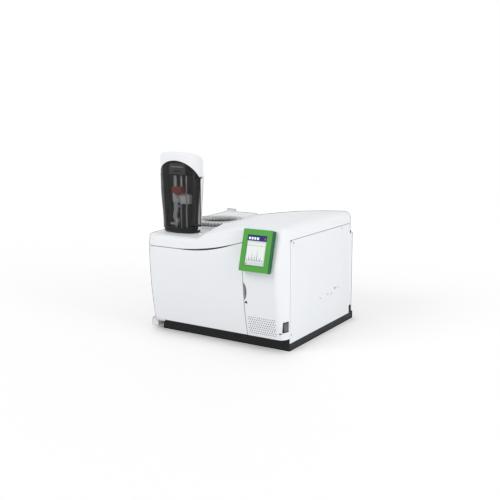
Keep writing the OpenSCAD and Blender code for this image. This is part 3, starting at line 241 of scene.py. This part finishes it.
def circle(x, y, r, n=96):
    return [(x + r * math.cos(2 * math.pi * i / n), y + r * math.sin(2 * math.pi * i / n)) for i in range(n)]


def boolean(obj, cutters, how="DIFFERENCE"):
    for c in cutters:
        mod = obj.modifiers.new("cut", "BOOLEAN")
        mod.operation, mod.solver, mod.object = how, "EXACT", c
        bpy.context.view_layer.objects.active = obj
        bpy.ops.object.modifier_apply(modifier=mod.name)
        bpy.data.objects.remove(c)


def finish_mesh(obj, angle=35, bevel=0.5, segments=2):
    """Smooth faces, and a small rounding on every edge sharper than the angle."""
    if bevel:
        mod = obj.modifiers.new("edges", "BEVEL")
        mod.width, mod.segments, mod.limit_method = bevel * MM, segments, "ANGLE"
        mod.angle_limit = math.radians(angle)
        mod.harden_normals = False
    for p in obj.data.polygons:
        p.use_smooth = True
    mod = obj.modifiers.new("split", "EDGE_SPLIT") if not bevel else None
    if mod:
        mod.split_angle = math.radians(angle)
    return obj


# ---------- finishes ----------
def noise(nt, scale, detail=3, stretch=(1, 1, 1)):
    coord = nt.nodes.new("ShaderNodeTexCoord")
    place = nt.nodes.new("ShaderNodeMapping")
    place.inputs["Scale"].default_value = stretch
    tex = nt.nodes.new("ShaderNodeTexNoise")
    tex.inputs["Scale"].default_value = scale
    tex.inputs["Detail"].default_value = detail
    nt.links.new(coord.outputs["Object"], place.inputs["Vector"])
    nt.links.new(place.outputs["Vector"], tex.inputs["Vector"])
    return tex.outputs["Fac"]


def spread(nt, fac, low, high):
    band = nt.nodes.new("ShaderNodeMapRange")
    band.inputs["To Min"].default_value = low
    band.inputs["To Max"].default_value = high
    nt.links.new(fac, band.inputs["Value"])
    return band.outputs["Result"]


def material(
    name, color, rough=0.5, metal=0.0, grain=0.1, size=900.0, alpha=1.0, glow=0.0, stretch=(1, 1, 1),
    tone=0.04, sheen=0.5,
):
    """A plain finish with a fine grain, a worn sheen and a slight change of tone."""
    m = bpy.data.materials.new(name)
    m.use_nodes = True
    nt = m.node_tree
    b = nt.nodes["Principled BSDF"]
    b.inputs["Metallic"].default_value = metal
    b.inputs["Alpha"].default_value = alpha
    b.inputs["Roughness"].default_value = rough
    b.inputs["Specular IOR Level"].default_value = sheen
    b.inputs["Base Color"].default_value = (*color, 1)
    if glow:
        b.inputs["Emission Color"].default_value = (*color, 1)
        b.inputs["Emission Strength"].default_value = glow
    wear = noise(nt, 14, 4)
    nt.links.new(spread(nt, wear, rough * 0.88, min(1, rough * 1.12)), b.inputs["Roughness"])
    mix = nt.nodes.new("ShaderNodeMix")
    mix.data_type = "RGBA"
    mix.inputs["A"].default_value = (*[c * (1 - tone) for c in color], 1)
    mix.inputs["B"].default_value = (*[min(1, c * (1 + tone)) for c in color], 1)
    nt.links.new(noise(nt, 9, 2), mix.inputs["Factor"])
    nt.links.new(mix.outputs["Result"], b.inputs["Base Color"])
    bump = nt.nodes.new("ShaderNodeBump")
    bump.inputs["Strength"].default_value = grain
    bump.inputs["Distance"].default_value = 0.0004
    nt.links.new(noise(nt, size, 3, stretch), bump.inputs["Height"])
    nt.links.new(bump.outputs["Normal"], b.inputs["Normal"])
    return m


M = {
    "cover_paint": material("cover_paint", (0.755, 0.763, 0.77), 0.45, grain=0.10, tone=0.01, sheen=0.4),
    "panel_paint": material("panel_paint", (0.735, 0.745, 0.75), 0.5, grain=0.22, size=500, tone=0.012),
    "sheet_steel": material("sheet_steel", (0.62, 0.63, 0.64), 0.34, 1.0, 0.15, 300, stretch=(1, 1, 14)),
    "black_plastic": material("black_plastic", (0.014, 0.014, 0.015), 0.5, grain=0.2, sheen=0.22),
    "rubber": material("rubber", (0.01, 0.01, 0.01), 0.78, grain=0.35, size=400, sheen=0.2),
    "green_plastic": material("green_plastic", (0.062, 0.31, 0.034), 0.34, grain=0.05, sheen=0.35),
    "screen_glass": material("screen_glass", (0.02, 0.02, 0.03), 0.12, grain=0.01, sheen=0.2),
    "smoke_plastic": material("smoke_plastic", (0.03, 0.028, 0.027), 0.1, grain=0.01, alpha=0.3, sheen=0.3),
    "white_plastic": material("white_plastic", (0.8, 0.8, 0.78), 0.4, grain=0.06),
    "grey_plastic": material("grey_plastic", (0.56, 0.57, 0.58), 0.45, grain=0.12),
    "brass": material("brass", (0.6, 0.42, 0.15), 0.3, 1.0, 0.12, 260, stretch=(1, 12, 1)),
    "insulation": material("insulation", (0.55, 0.5, 0.38), 0.95, grain=0.8, size=240, tone=0.2),
    "silica": material("silica", (0.20, 0.10, 0.03), 0.35, grain=0.05),
    "copper_red": material("copper_red", (0.36, 0.045, 0.03), 0.4, 0.1, 0.1, 400),
    "vial_glass": material("vial_glass", (0.75, 0.8, 0.8), 0.05, grain=0.01, alpha=0.35),
    "led": material("led", (0.012, 0.014, 0.012), 0.2, grain=0.03),
    "heater": material("heater", (0.14, 0.12, 0.11), 0.5, 0.9, 0.3, 500, tone=0.2),
    "board": material("board", (0.02, 0.14, 0.06), 0.5, grain=0.2, size=260),
}

M["switch_face"] = material("switch_face", (0.10, 0.10, 0.105), 0.4, grain=0.08)
M["moulding"] = material("moulding", (0.66, 0.67, 0.66), 0.5, grain=0.1)
M["carriage"] = material("carriage", (0.75, 0.76, 0.75), 0.4, grain=0.1)


def paint_side_shade(m, side_shade_color):
    """The housing's right side is painted a darker green than its front: painted shade, picked by faces
    turned to +X.
    """
    nt = m.node_tree
    b = nt.nodes["Principled BSDF"]
    front = b.inputs["Base Color"].links[0].from_socket
    coord = nt.nodes.new("ShaderNodeTexCoord")
    split = nt.nodes.new("ShaderNodeSeparateXYZ")
    nt.links.new(coord.outputs["Normal"], split.inputs["Vector"])
    edge = nt.nodes.new("ShaderNodeMath")
    edge.operation = "GREATER_THAN"
    edge.inputs[1].default_value = 0.7
    nt.links.new(split.outputs["X"], edge.inputs[0])
    mix = nt.nodes.new("ShaderNodeMix")
    mix.data_type = "RGBA"
    nt.links.new(edge.outputs["Value"], mix.inputs["Factor"])
    nt.links.new(front, mix.inputs["A"])
    mix.inputs["B"].default_value = (*side_shade_color, 1)
    nt.links.new(mix.outputs["Result"], b.inputs["Base Color"])


# Painted shade: the display housing's right side is coloured darker green.
paint_side_shade(M["green_plastic"], (0.004, 0.105, 0.03))
OWN_LOOK = {
    "power_rocker": "switch_face",
    "lid_hinge": "moulding",
    "lid_knuckle": "moulding",
    "cover_ledge": "moulding",
    "syringe_carriage": "carriage",
}

SLOT_OF = {s["node"]: s["material_slot"] for s in frame["record"]["subparts"]}
for name, obj in frame["nodes"].items():
    obj.data.materials.clear()
    obj.data.materials.append(M[OWN_LOOK.get(name, SLOT_OF[name])])
    for p in obj.data.polygons:
        p.use_smooth = True
    mod = obj.modifiers.new("split", "EDGE_SPLIT")
    mod.split_angle = math.radians(32)


def dress(obj, mat, body, *stands_for, slot=None):
    obj.data.materials.clear()
    obj.data.materials.append(M[mat] if isinstance(mat, str) else mat)
    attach(obj, body)
    if stands_for:
        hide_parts(*stands_for)
    return obj


# ---------- moulded covers ----------
def service_outline(grow):
    x0, x1, y0, r = SERVICE
    x0, x1, y0 = x0 - grow, x1 + grow, y0 - grow
    r = r + grow
    pts = [(x0, TOP_REAR + 30), (x0, y0)]
    for deg in range(0, 91, 5):
        a = math.radians(deg)
        pts.append((x1 - r + r * math.sin(a), y0 + r - r * math.cos(a)))
    return pts + [(x1, TOP_REAR + 30)]


def side_skirt(name, side, z0):
    """The upright strip under a cover's rounded side."""
    s = (0, side, math.pi / 2)
    line = [knee_pt(s, math.pi / 2, 0)] + [top_pt(s, i / 64, 0) for i in range(1, 65)]
    corners = ((0, 0), (0, 1), (WALL, 0), (WALL, 1))
    rows = [[(side * (HALF_W - d), y, z + (z0 - z) * t) for _, y, z in line] for d, t in corners]
    return finish_mesh(shell(name, rows[:2], rows[2:]), bevel=0)


def across(x0, x1):
    """Stations over the deck, closer together on the flank."""
    if x0 > -20 or x1 < -110:
        return middle(x0, x1)
    return middle(x0, -110)[:-1] + middle(-110, -20, 3)[:-1] + middle(-20, x1)


def under_top(x0, x1, y0, y1, z0, step):
    xs = [x0 + step * i for i in range(round((x1 - x0) / step) + 1)]
    ys = [y0 + step * i for i in range(round((y1 - y0) / step) + 1)]
    upper = [[(x, y, top_h(x, y)) for y in ys] for x in xs]
    return shell("cut", upper, [[(x, y, z0) for y in ys] for x in xs])


deck_stations = LEFT + across(-260, SPLIT_X - 0.5)
deck = shell(
    "deck_cover_skin",
    [section(s, 8, seam(st_x(s, 0)), 0) for s in deck_stations],
    [section(s, 8, seam(st_x(s, 0)), WALL) for s in deck_stations],
)
rim = prism("cut", circle(*CAROUSEL, WELL_R + LIP_W, 144), WALL_Z0, 480)
boolean(rim, [under_top(-125, -28, -182, 78, WALL_Z0 - 5, 4)], "INTERSECT")
boolean(deck, [rim, prism("cut", circle(*CAROUSEL, WELL_R + LIP_W, 144), WALL_Z0, LIP_Z)], "UNION")
lid_x0, lid_x1, lid_y0, lid_y1 = LID[0] + 6, LID[1] - 6, LID[2] + 6, LID[3] - 6
holes = [
    prism("cut", service_outline(0), 380, 560),
    prism("cut", circle(*TOWER, 20), 380, 460),
    prism("cut", circle(*CAROUSEL, WELL_R, 144), 380, 490),
    prism("cut", [(lid_x0, lid_y0), (lid_x1, lid_y0), (lid_x1, lid_y1), (lid_x0, lid_y1)], 405, 470),
    prism("cut", [(-302, LID[3] + 4), (-258, LID[3] + 4), (-258, REAR_Y), (-302, REAR_Y)], 410, 460),
    prism("cut", circle(TOWER[0] - 33, TOWER[1], 5, 32), 380, 460),
]
holes += [prism("cut", circle(*p, 10.5, 48), 380, 460) for p in PORTS]
holes += [prism("cut", circle(TOWER[0], TOWER[1] - 33, 12.5, 48), 380, 460)]
boolean(deck, holes)
finish_mesh(deck)
dress(deck, "cover_paint", "cabinet", "deck_cover")
dress(side_skirt("deck_cover_side", -1, SEAM_Z), "cover_paint", "cabinet")

# ---------- front column ----------
SWITCH = ((326.2, -313.4, 100.5), -17.6)
LED = ((312.7, -330.2, 76), -55)
GRIP = (SPLIT_X - 3, -362, 229)
LATCH = (174.8, 187)
DISPLAY_X = 231
TILT_Z = 325


def block(name, x0, x1, y0, y1, z0, z1, place=None):
    obj = prism(name, [(x0, y0), (x1, y0), (x1, y1), (x0, y1)], z0, z1)
    if place:
        (x, y, z), turn = place
        shift = Matrix.Translation(Vector((x, y, z)) * MM)
        obj.data.transform(shift @ Matrix.Rotation(math.radians(turn), 4, "Z"))
    return obj


def along_y(name, x, z, r, y0, y1, n=32):
    verts = [(px, y, pz) for y in (y0, y1) for px, pz in circle(x, z, r, n)]
    faces = [tuple(range(n)), tuple(range(2 * n - 1, n - 1, -1))]
    faces += [(i, n + i, n + (i + 1) % n, (i + 1) % n) for i in range(n)]
    return new_mesh(name, verts, faces)


def merge(name, parts):
    """One mesh out of several that don't touch."""
    bm = bmesh.new()
    for o in parts:
        bm.from_mesh(o.data)
        bpy.data.objects.remove(o)
    mesh = bpy.data.meshes.new(name)
    bm.to_mesh(mesh)
    bm.free()
    obj = bpy.data.objects.new(name, mesh)
    bpy.context.scene.collection.objects.link(obj)
    return obj


def scoop():
    bm = bmesh.new()
    bmesh.ops.create_uvsphere(bm, u_segments=64, v_segments=48, radius=1)
    bmesh.ops.scale(bm, vec=(17 * MM, 24 * MM, 37 * MM), verts=bm.verts)
    bmesh.ops.translate(bm, vec=Vector(GRIP) * MM, verts=bm.verts)
    mesh = bpy.data.meshes.new("cut")
    bm.to_mesh(mesh)
    bm.free()
    obj = bpy.data.objects.new("cut", mesh)
    bpy.context.scene.collection.objects.link(obj)
    return obj


VENT_X0, VENT_Z0, VENT_STEP, VENT_RISE, VENT_ROWS, VENT_COLUMNS = 177, 64, 9.4, 9.2, 8, 13


def vent_places():
    """Small holes low on the column, in staggered rows."""
    places = []
    for row in range(VENT_ROWS):
        shift = VENT_STEP / 2 if row % 2 else 0
        places += [(VENT_X0 + VENT_STEP * i + shift, VENT_Z0 + VENT_RISE * row) for i in range(VENT_COLUMNS)]
    return places


cowl_stations = middle(SPLIT_X + 0.5, HALF_W - 28, 6) + RIGHT
cowl = shell(
    "right_cowl_skin",
    [section(s, 60, FRONT_BOTTOM, 0) for s in cowl_stations],
    [section(s, 60, FRONT_BOTTOM, WALL) for s in cowl_stations],
)
vents = merge("cut", [along_y("cut", x, z, 2.5, -380, -300, 8) for x, z in vent_places()])
boolean(cowl, [
    prism("cut", service_outline(0), 380, 560),
    block("cut", -20, 12, -14, 14, -20, 20, SWITCH),
    block("cut", -20, 4, -5, 5, -2, 2, LED),
    scoop(),
    along_y("cut", LATCH[0], LATCH[1], 4.6, -400, -300),
    block("cut", DISPLAY_X - 46, DISPLAY_X + 46, -380, -340, TILT_Z - 9, TILT_Z + 9),
    vents,
])
finish_mesh(cowl)
dress(cowl, "cover_paint", "cabinet", "right_cowl")
dress(side_skirt("right_cowl_side", 1, PANEL_TOP + 2), "cover_paint", "cabinet")
COLUMN_TOP = 406
x0 = SPLIT_X + 0.5
zs = [FRONT_BOTTOM + 0.5 + (COLUMN_TOP - FRONT_BOTTOM) * i / 48 for i in range(49)]
rows = [[[(x, -front_f(x0, z) + 1.5, z) for z in zs], [(x, -298, z) for z in zs]] for x in (x0, x0 + WALL)]
column_return = shell("column_return", *rows)
boolean(column_return, [scoop()])
dress(finish_mesh(column_return), "cover_paint", "cabinet")

service_stations = middle(40, SPLIT_X - 0.5) + middle(SPLIT_X + 0.5, 296)
service = shell(
    "service_cover_skin",
    [[top_pt(s, i / 64, 0) for i in range(4, 65)] for s in service_stations],
    [[top_pt(s, i / 64, WALL) for i in range(4, 65)] for s in service_stations],
)
boolean(service, [prism("cut", service_outline(-SERVICE_GAP), 380, 560)], "INTERSECT")
finish_mesh(service)
dress(service, "cover_paint", "cabinet", "service_cover")

# ---------- oven door ----------
DOOR_X1 = SPLIT_X - DOOR_GAP
DOOR_REAR = 305
door_stations = LEFT + middle(-260, DOOR_X1)


def door_section(s, off):
    top = door_top(st_x(s, 0))
    return [front_pt(s, FRONT_BOTTOM + (top - FRONT_BOTTOM) * i / 56, off) for i in range(57)]


door = shell("oven_door_skin", *[[door_section(s, off) for s in door_stations] for off in (0, WALL)])
finish_mesh(door)
dress(door, "cover_paint", "oven_door", "door_skin")
zs = [FRONT_BOTTOM + 0.5 + (door_top(DOOR_X1) - 1 - FRONT_BOTTOM) * i / 40 for i in range(41)]
rows = [
    [[(x, -front_f(DOOR_X1, z) + 1.5, z) for z in zs], [(x, -DOOR_REAR, z) for z in zs]]
    for x in (DOOR_X1, DOOR_X1 - WALL)
]
dress(finish_mesh(shell("door_return_right", *rows)), "cover_paint", "oven_door")


def door_edge(x, down):
    z = door_top(x) - 0.2 - down
    return [(x, -front_f(x, z) + 1.5, z), (x, -DOOR_REAR, z)]


xs = [-284 + (DOOR_X1 - 1 + 284) * i / 48 for i in range(49)]
top_edge = shell("door_return_top", [door_edge(x, 0) for x in xs], [door_edge(x, WALL) for x in xs])
dress(finish_mesh(top_edge), "cover_paint", "oven_door")


def door_foot(s, up):
    x, y, z = front_pt(s, FRONT_BOTTOM + up, 1.5)
    return [(x, y, z), (max(x, -300), min(-290, max(y, -DOOR_REAR)) if x < -290 else -DOOR_REAR, z)]


foot_stations = LEFT[1:] + middle(-260, DOOR_X1)
foot = shell("door_return_foot", *[[door_foot(s, up) for s in foot_stations] for up in (0, WALL)])
dress(finish_mesh(foot), "cover_paint", "oven_door")

# ---------- tower ----------
BEND_Z = 600


def tower_k(z):
    return 1 - 0.12 * (1 - smooth((z - 430) / 230))


def lean(z, y):
    if z < BEND_Z:
        return z
    return BEND_Z + (z - BEND_Z) * (TOWER_TOP - (y + TOWER_B) * TOWER_SLOPE - BEND_Z) / (TOWER_TOP - BEND_Z)


def bulge(z):
    t = (z - 470) / 190
    return DOOR_BULGE * math.sin(math.pi * t) ** 2 if 0 < t < 1 else 0


def oval(a, b, n):
    pts = []
    for i in range(n):
        c, s = math.cos(2 * math.pi * i / n), math.sin(2 * math.pi * i / n)
        pts.append((a * math.copysign(abs(c) ** 0.8, c), b * math.copysign(abs(s) ** 0.8, s)))
    return pts


def tower_form(off, z0, out, n=120):
    r = CAP_R - off
    rings = [(z0, FOOT_IN, FOOT_IN * 0.3), (TOWER_Z0 + 3, FOOT_IN * 0.3, FOOT_IN * 0.1), (TOWER_Z0 + 7, 0, 0)]
    rings += [(440 + 10 * i, 0, 0) for i in range(29)]
    for i in range(11):
        a = math.radians(9 * i)
        rings.append((TOWER_TOP - CAP_R + r * math.sin(a), r * (1 - math.cos(a)), r * (1 - math.cos(a))))
    verts, faces = [], [tuple(range(n - 1, -1, -1))]
    for z, in_x, in_y in rings:
        k = tower_k(z)
        for x, y in oval(TOWER_A * k - off - in_x, TOWER_B * (1 + k) / 2 - off - in_y + out * bulge(z), n):
            verts.append((TOWER[0] + x, TOWER[1] + y, lean(z, y)))
    for j in range(len(rings) - 1):
        a, b = j * n, (j + 1) * n
        faces += [(a + i, a + (i + 1) % n, b + (i + 1) % n, b + i) for i in range(n)]
    faces.append(tuple(range((len(rings) - 1) * n, len(rings) * n)))
    return new_mesh("tower_form", verts, faces)


def tower_skin(name, out):
    obj = tower_form(0, TOWER_Z0, out)
    obj.name = name
    boolean(obj, [tower_form(WALL, TOWER_Z0 - 1, out)])
    return obj


def front_part(inset, z0, y1, right=0):
    a = ARCH_A - inset
    line = [(-105, z0), (105, z0), (105, ARCH_Z - 30), (a - right, ARCH_Z - 30)]
    for t in range(0, 181, 3):
        wide = a - right if t < 90 else a
        line.append((wide * math.cos(math.radians(t)), ARCH_Z + (ARCH_H - inset) * math.sin(math.radians(t))))
    line += [(-a, ARCH_Z - 30), (-105, ARCH_Z - 30)]
    n = len(line)
    verts = [(TOWER[0] + x, TOWER[1] + y, z) for y in (y1 - 60, y1) for x, z in line]
    faces = [tuple(range(n)), tuple(range(2 * n - 1, n - 1, -1))]
    faces += [(i, (i + 1) % n, n + (i + 1) % n, n + i) for i in range(n)]
    return new_mesh("cut", verts, faces)


AXIS = (101.5, -14)
LUGS = ((445.5, 74), (640.5, 85))


def tower_block(x0, x1, y0, y1, z0, z1, name="cut"):
    return block(name, TOWER[0] + x0, TOWER[0] + x1, TOWER[1] + y0, TOWER[1] + y1, z0, z1)


shell_skin = tower_skin("tower_shell_skin", 0)
lug_cuts = [tower_block(x, AXIS[0], -17, 3, z, z + 6) for z, x in LUGS]
boolean(shell_skin, [front_part(0, TOWER_Z0 - 5, -6)] + lug_cuts)
dress(finish_mesh(shell_skin, 40), "cover_paint", "tower", "tower_shell")

FLANGE = ((78, -36), (80, -40.5), (94, -34.5), (104.5, -20), (105, -14), (98.5, -14), (97, -20), (90, -29))
flange = prism("cut", [(TOWER[0] + x, TOWER[1] + y) for x, y in FLANGE], 452, 640)
window = tower_skin("tower_door_skin", 1)
boolean(window, [front_part(1, TOWER_Z0 + 2, -7.5, 2.5)], "INTERSECT")
boolean(window, [flange] + [tower_block(70, 110, -32, 0, z - 1, z + 7) for z, _ in LUGS])
dress(finish_mesh(window, 40, 0.3), "smoke_plastic", "tower_door", "tower_door")

# Painted shade: a black sheet just inside the white tower shell stands for the shade on the shell's inner
# walls.
inner_shade = tower_form(WALL + 0.3, TOWER_Z0 + 5.5, 0)
inner_shade.name = "tower_inner_shade"
boolean(inner_shade, [tower_form(WALL + 1.3, TOWER_Z0 + 4, 0)])
boolean(inner_shade, [tower_block(-110, 110, -90, -7, 400, 800)])
boolean(inner_shade, [tower_block(x, AXIS[0], -17, 4, z - 0.5, z + 6.5) for z, x in LUGS])
dress(finish_mesh(inner_shade, 40, 0), "black_plastic", "tower")

# ---------- inside of the tower ----------
def inside(name, mat, body, slot, *bounds):
    dress(finish_mesh(tower_block(*bounds, name=name), 35, 0.6), mat, body, slot=slot)


M["head_cover"] = material("head_cover", (0.09, 0.09, 0.09), 0.45, grain=0.1)
inside("head_cover", M["head_cover"], "tower", "black_plastic", -40, 40, -33, -30.2, 656, 700)
inside("head_slot", "black_plastic", "tower", "black_plastic", -16, 16, -33.6, -33, 664, 672)
inside("head_window", M["moulding"], "tower", "grey_plastic", -30, 30, -33.5, -33, 684, 687)
inside("light_guide", M["moulding"], "tower", "grey_plastic", -52, -45, 12, 21.8, 455, 655)
inside("side_channel", M["head_cover"], "tower", "black_plastic", 52, 62, 8, 21.8, 445, 690)
inside("carriage_block", M["carriage"], "syringe_carriage", "grey_plastic", 12, 40, -31, -16.2, 536, 569)
inside("carriage_clip", M["carriage"], "syringe_carriage", "grey_plastic", -9, 9, -30, -16.2, 520, 526)
inside("plunger_clip", "copper_red", "plunger_carriage", "copper_red", -12, 12, -36, -26, 572, 579.8)
inside("guide_block", M["carriage"], "tower", "grey_plastic", -16, -4, -26, -12, 456.2, 472)

# ---------- small details ----------
def follow_front(name, mat, x0, x1, z0, z1, depth, thick, n=12):
    """A plate behind the front surface."""
    xs = [x0 + (x1 - x0) * i / n for i in range(n + 1)]
    zs = [z0 + (z1 - z0) * i / 24 for i in range(25)]
    grids = [[[(x, -front_f(x, z) + d, z) for z in zs] for x in xs] for d in (depth, depth + thick)]
    dress(finish_mesh(shell(name, *grids), bevel=0), mat, "cabinet")


follow_front("vent_backing", "black_plastic", 173, 298, 62, 146, 4.5, 1)
follow_front("seam_strip_low", "cover_paint", DOOR_X1 + 0.5, SPLIT_X + 0.4, 52, 190, 3, 8, 2)
follow_front("seam_strip_high", "cover_paint", DOOR_X1 + 0.5, SPLIT_X + 0.4, 268, 395, 3, 8, 2)
dress(block("panel_backing", HALF_W - 8, HALF_W - 7, -55, 150, 140, 186), "black_plastic", "cabinet")


def ring(name, x, y, r0, r1, z0, z1, n=64):
    outer, inner = circle(x, y, r1, n), circle(x, y, r0, n)
    verts = [(px, py, z) for z in (z0, z1) for line in (outer, inner) for px, py in line]
    faces = []
    for i in range(n):
        j = (i + 1) % n
        faces += [(i, j, 2 * n + j, 2 * n + i), (n + j, n + i, 3 * n + i, 3 * n + j)]
        faces += [(j, i, n + i, n + j), (2 * n + i, 2 * n + j, 3 * n + j, 3 * n + i)]
    return new_mesh(name, verts, faces)


VIAL_RINGS = ((46, 101), (36, 85))
CAP_TOP = 448
SEPTUM_R, MARK_H = 2.3, 0.15
septa = [
    prism("septum", circle(x, y, SEPTUM_R, 16), CAP_TOP, CAP_TOP + MARK_H)
    for n, r in VIAL_RINGS for x, y in circle(*CAROUSEL, r, n)
]
M["septum"] = material("septum", (0.10, 0.08, 0.08), 0.7)
dress(merge("vial_septa", septa), M["septum"], "carousel", slot="white_plastic")
for i, (x, y) in enumerate(PORTS):
    top = deck_h(y) + 5
    dress(ring(f"port_mark_{i}", x, y, 3.2, 5.2, top, top + MARK_H), "black_plastic", "cabinet")


DISPLAY_LEAN = 15.2


def on_display(name, rects, depth=0.25):
    """Thin tiles on the screen's glass: each is a list of x, z points in the display's plane."""
    tiles = []
    for k, pts in enumerate(rects):
        n = len(pts)
        verts = [(x, y, z) for y in (1.6 - depth, 1.6) for x, z in pts]
        faces = [tuple(range(n)), tuple(range(2 * n - 1, n - 1, -1))]
        faces += [(i, n + i, n + (i + 1) % n, (i + 1) % n) for i in range(n)]
        tiles.append(new_mesh(f"{name}_{k}", verts, faces))
    obj = merge(name, tiles)
    turn = Matrix.Rotation(math.radians(-DISPLAY_LEAN), 4, "X")
    obj.data.transform(Matrix.Translation(Vector((DISPLAY_X, -398, 319)) * MM) @ turn)
    return obj


def rect(x0, x1, z0, z1):
    return [(x0, z0), (x1, z0), (x1, z1), (x0, z1)]


def screen(name, color, rects, depth, glow=0.2):
    mat = material(name, color, 0.3, grain=0.01, glow=glow, tone=0.0, sheen=0.05)
    dress(on_display(name, rects, depth), mat, "display", slot="screen_glass")


GW, GZ = 41, 24  # half of the picture's width, and the height of its lower edge
screen("screen_back", (0.50, 0.55, 0.52), [rect(-GW, GW, GZ, GZ + 112)], 0.10)
screen("screen_head", (0.02, 0.035, 0.16), [rect(-GW, GW, GZ + 92, GZ + 112)], 0.16)
screen("screen_band", (0.66, 0.64, 0.58), [rect(-GW + 3, GW - 3, GZ + 76, GZ + 86)], 0.18)
screen("screen_plot", (0.64, 0.68, 0.64), [rect(-GW + 3, GW - 3, GZ + 14, GZ + 72)], 0.18)
peaks = ((-34, 6), (-27, 22), (-21, 10), (-14, 40), (-7, 14), (0, 28), (8, 48), (16, 12), (23, 20), (31, 8))
lines = [[(x - 1.3, GZ + 18), (x + 1.3, GZ + 18), (x, GZ + 18 + h)] for x, h in peaks]
lines += [rect(-36, 36, GZ + 17, GZ + 17.9)]
screen("screen_peaks", (0.1, 0.1, 0.2), lines, 0.24, 0.2)
marks = [rect(-GW + 3, -GW + 9, GZ + 2, GZ + 7), rect(GW - 9, GW - 4, GZ + 98, GZ + 105)]
screen("screen_marks", (0.7, 0.06, 0.04), marks, 0.24)
tiles = [rect(-GW + 4 + 12 * i, -GW + 12 + 12 * i, GZ + 97, GZ + 106) for i in range(4)]
screen("screen_tiles", (0.8, 0.82, 0.85), tiles, 0.22)

# Painted shade: thin black crosses on the right panel stand for the shade in the screw heads' cross recesses.
SCREWS = ((-264, 418), (159, 418), (-276, 63))
recess_shades = []
for y, z in SCREWS:
    recess_shades += [block("cross", HALF_W + 1.55, HALF_W + 1.6, y - 2.4, y + 2.4, z - 0.4, z + 0.4)]
    recess_shades += [block("cross", HALF_W + 1.55, HALF_W + 1.6, y - 0.4, y + 0.4, z + 0.4, z + 2.4)]
    recess_shades += [block("cross", HALF_W + 1.55, HALF_W + 1.6, y - 0.4, y + 0.4, z - 2.4, z - 0.4)]
dress(merge("screw_recess_shade", recess_shades), "black_plastic", "cabinet")

# ---------- light, floor and camera ----------
scene = bpy.context.scene
world = bpy.data.worlds.new("world")
scene.world = world
world.use_nodes = True
nt = world.node_tree
nt.nodes.clear()
out = nt.nodes.new("ShaderNodeOutputWorld")
mix = nt.nodes.new("ShaderNodeMixShader")
path = nt.nodes.new("ShaderNodeLightPath")
soft = nt.nodes.new("ShaderNodeBackground")
soft.inputs["Color"].default_value = (0.95, 0.965, 1, 1)
soft.inputs["Strength"].default_value = 0.82
white = nt.nodes.new("ShaderNodeBackground")
white.inputs["Color"].default_value = (1, 1, 1, 1)
white.inputs["Strength"].default_value = 1.0
fac = path.outputs["Is Camera Ray"]
for ray in ("Is Glossy Ray", "Is Transmission Ray"):
    seen = nt.nodes.new("ShaderNodeMath")
    seen.operation = "ADD"
    seen.use_clamp = True
    nt.links.new(fac, seen.inputs[0])
    nt.links.new(path.outputs[ray], seen.inputs[1])
    fac = seen.outputs["Value"]
nt.links.new(fac, mix.inputs["Fac"])
nt.links.new(soft.outputs["Background"], mix.inputs[1])
nt.links.new(white.outputs["Background"], mix.inputs[2])
nt.links.new(mix.outputs["Shader"], out.inputs["Surface"])


def area_light(name, loc, target, size, power):
    data = bpy.data.lights.new(name, "AREA")
    data.shape, data.size, data.energy = "DISK", size, power
    obj = bpy.data.objects.new(name, data)
    scene.collection.objects.link(obj)
    obj.location = loc
    obj.rotation_euler = (Vector(target) - Vector(loc)).to_track_quat("-Z", "Y").to_euler()


area_light("key", (-0.9, -2.3, 2.1), (0, 0, 0.3), 1.6, 23)
area_light("side", (2.5, -0.5, 1.1), (0, 0, 0.3), 1.4, 19)
area_light("top", (0.2, 0.4, 2.6), (0, 0, 0.4), 1.8, 1)

floor_mesh = bpy.data.meshes.new("floor")
floor_mesh.from_pydata([(-6, -6, 0), (6, -6, 0), (6, 6, 0), (-6, 6, 0)], [], [(0, 1, 2, 3)])
floor = bpy.data.objects.new("floor", floor_mesh)
scene.collection.objects.link(floor)
floor_mat = material("floor", (0.9, 0.9, 0.9), 0.7)
floor.data.materials.append(floor_mat)
floor.is_shadow_catcher = True
floor.location = (0, 0, -0.0004)

cam_data = bpy.data.cameras.new("camera")
cam = bpy.data.objects.new("camera", cam_data)
scene.collection.objects.link(cam)
cam.location = (1.6834, -2.7334, 0.9096)
cam.rotation_euler = (math.radians(90 - 8.563), 0, math.radians(32.075))
cam_data.lens = 54.495
cam_data.sensor_width = 36
cam_data.shift_y = -0.05
scene.camera = cam

scene.render.engine = "CYCLES"
scene.view_settings.view_transform = "Standard"
scene.cycles.max_bounces = 8
scene.cycles.transparent_max_bounces = 12
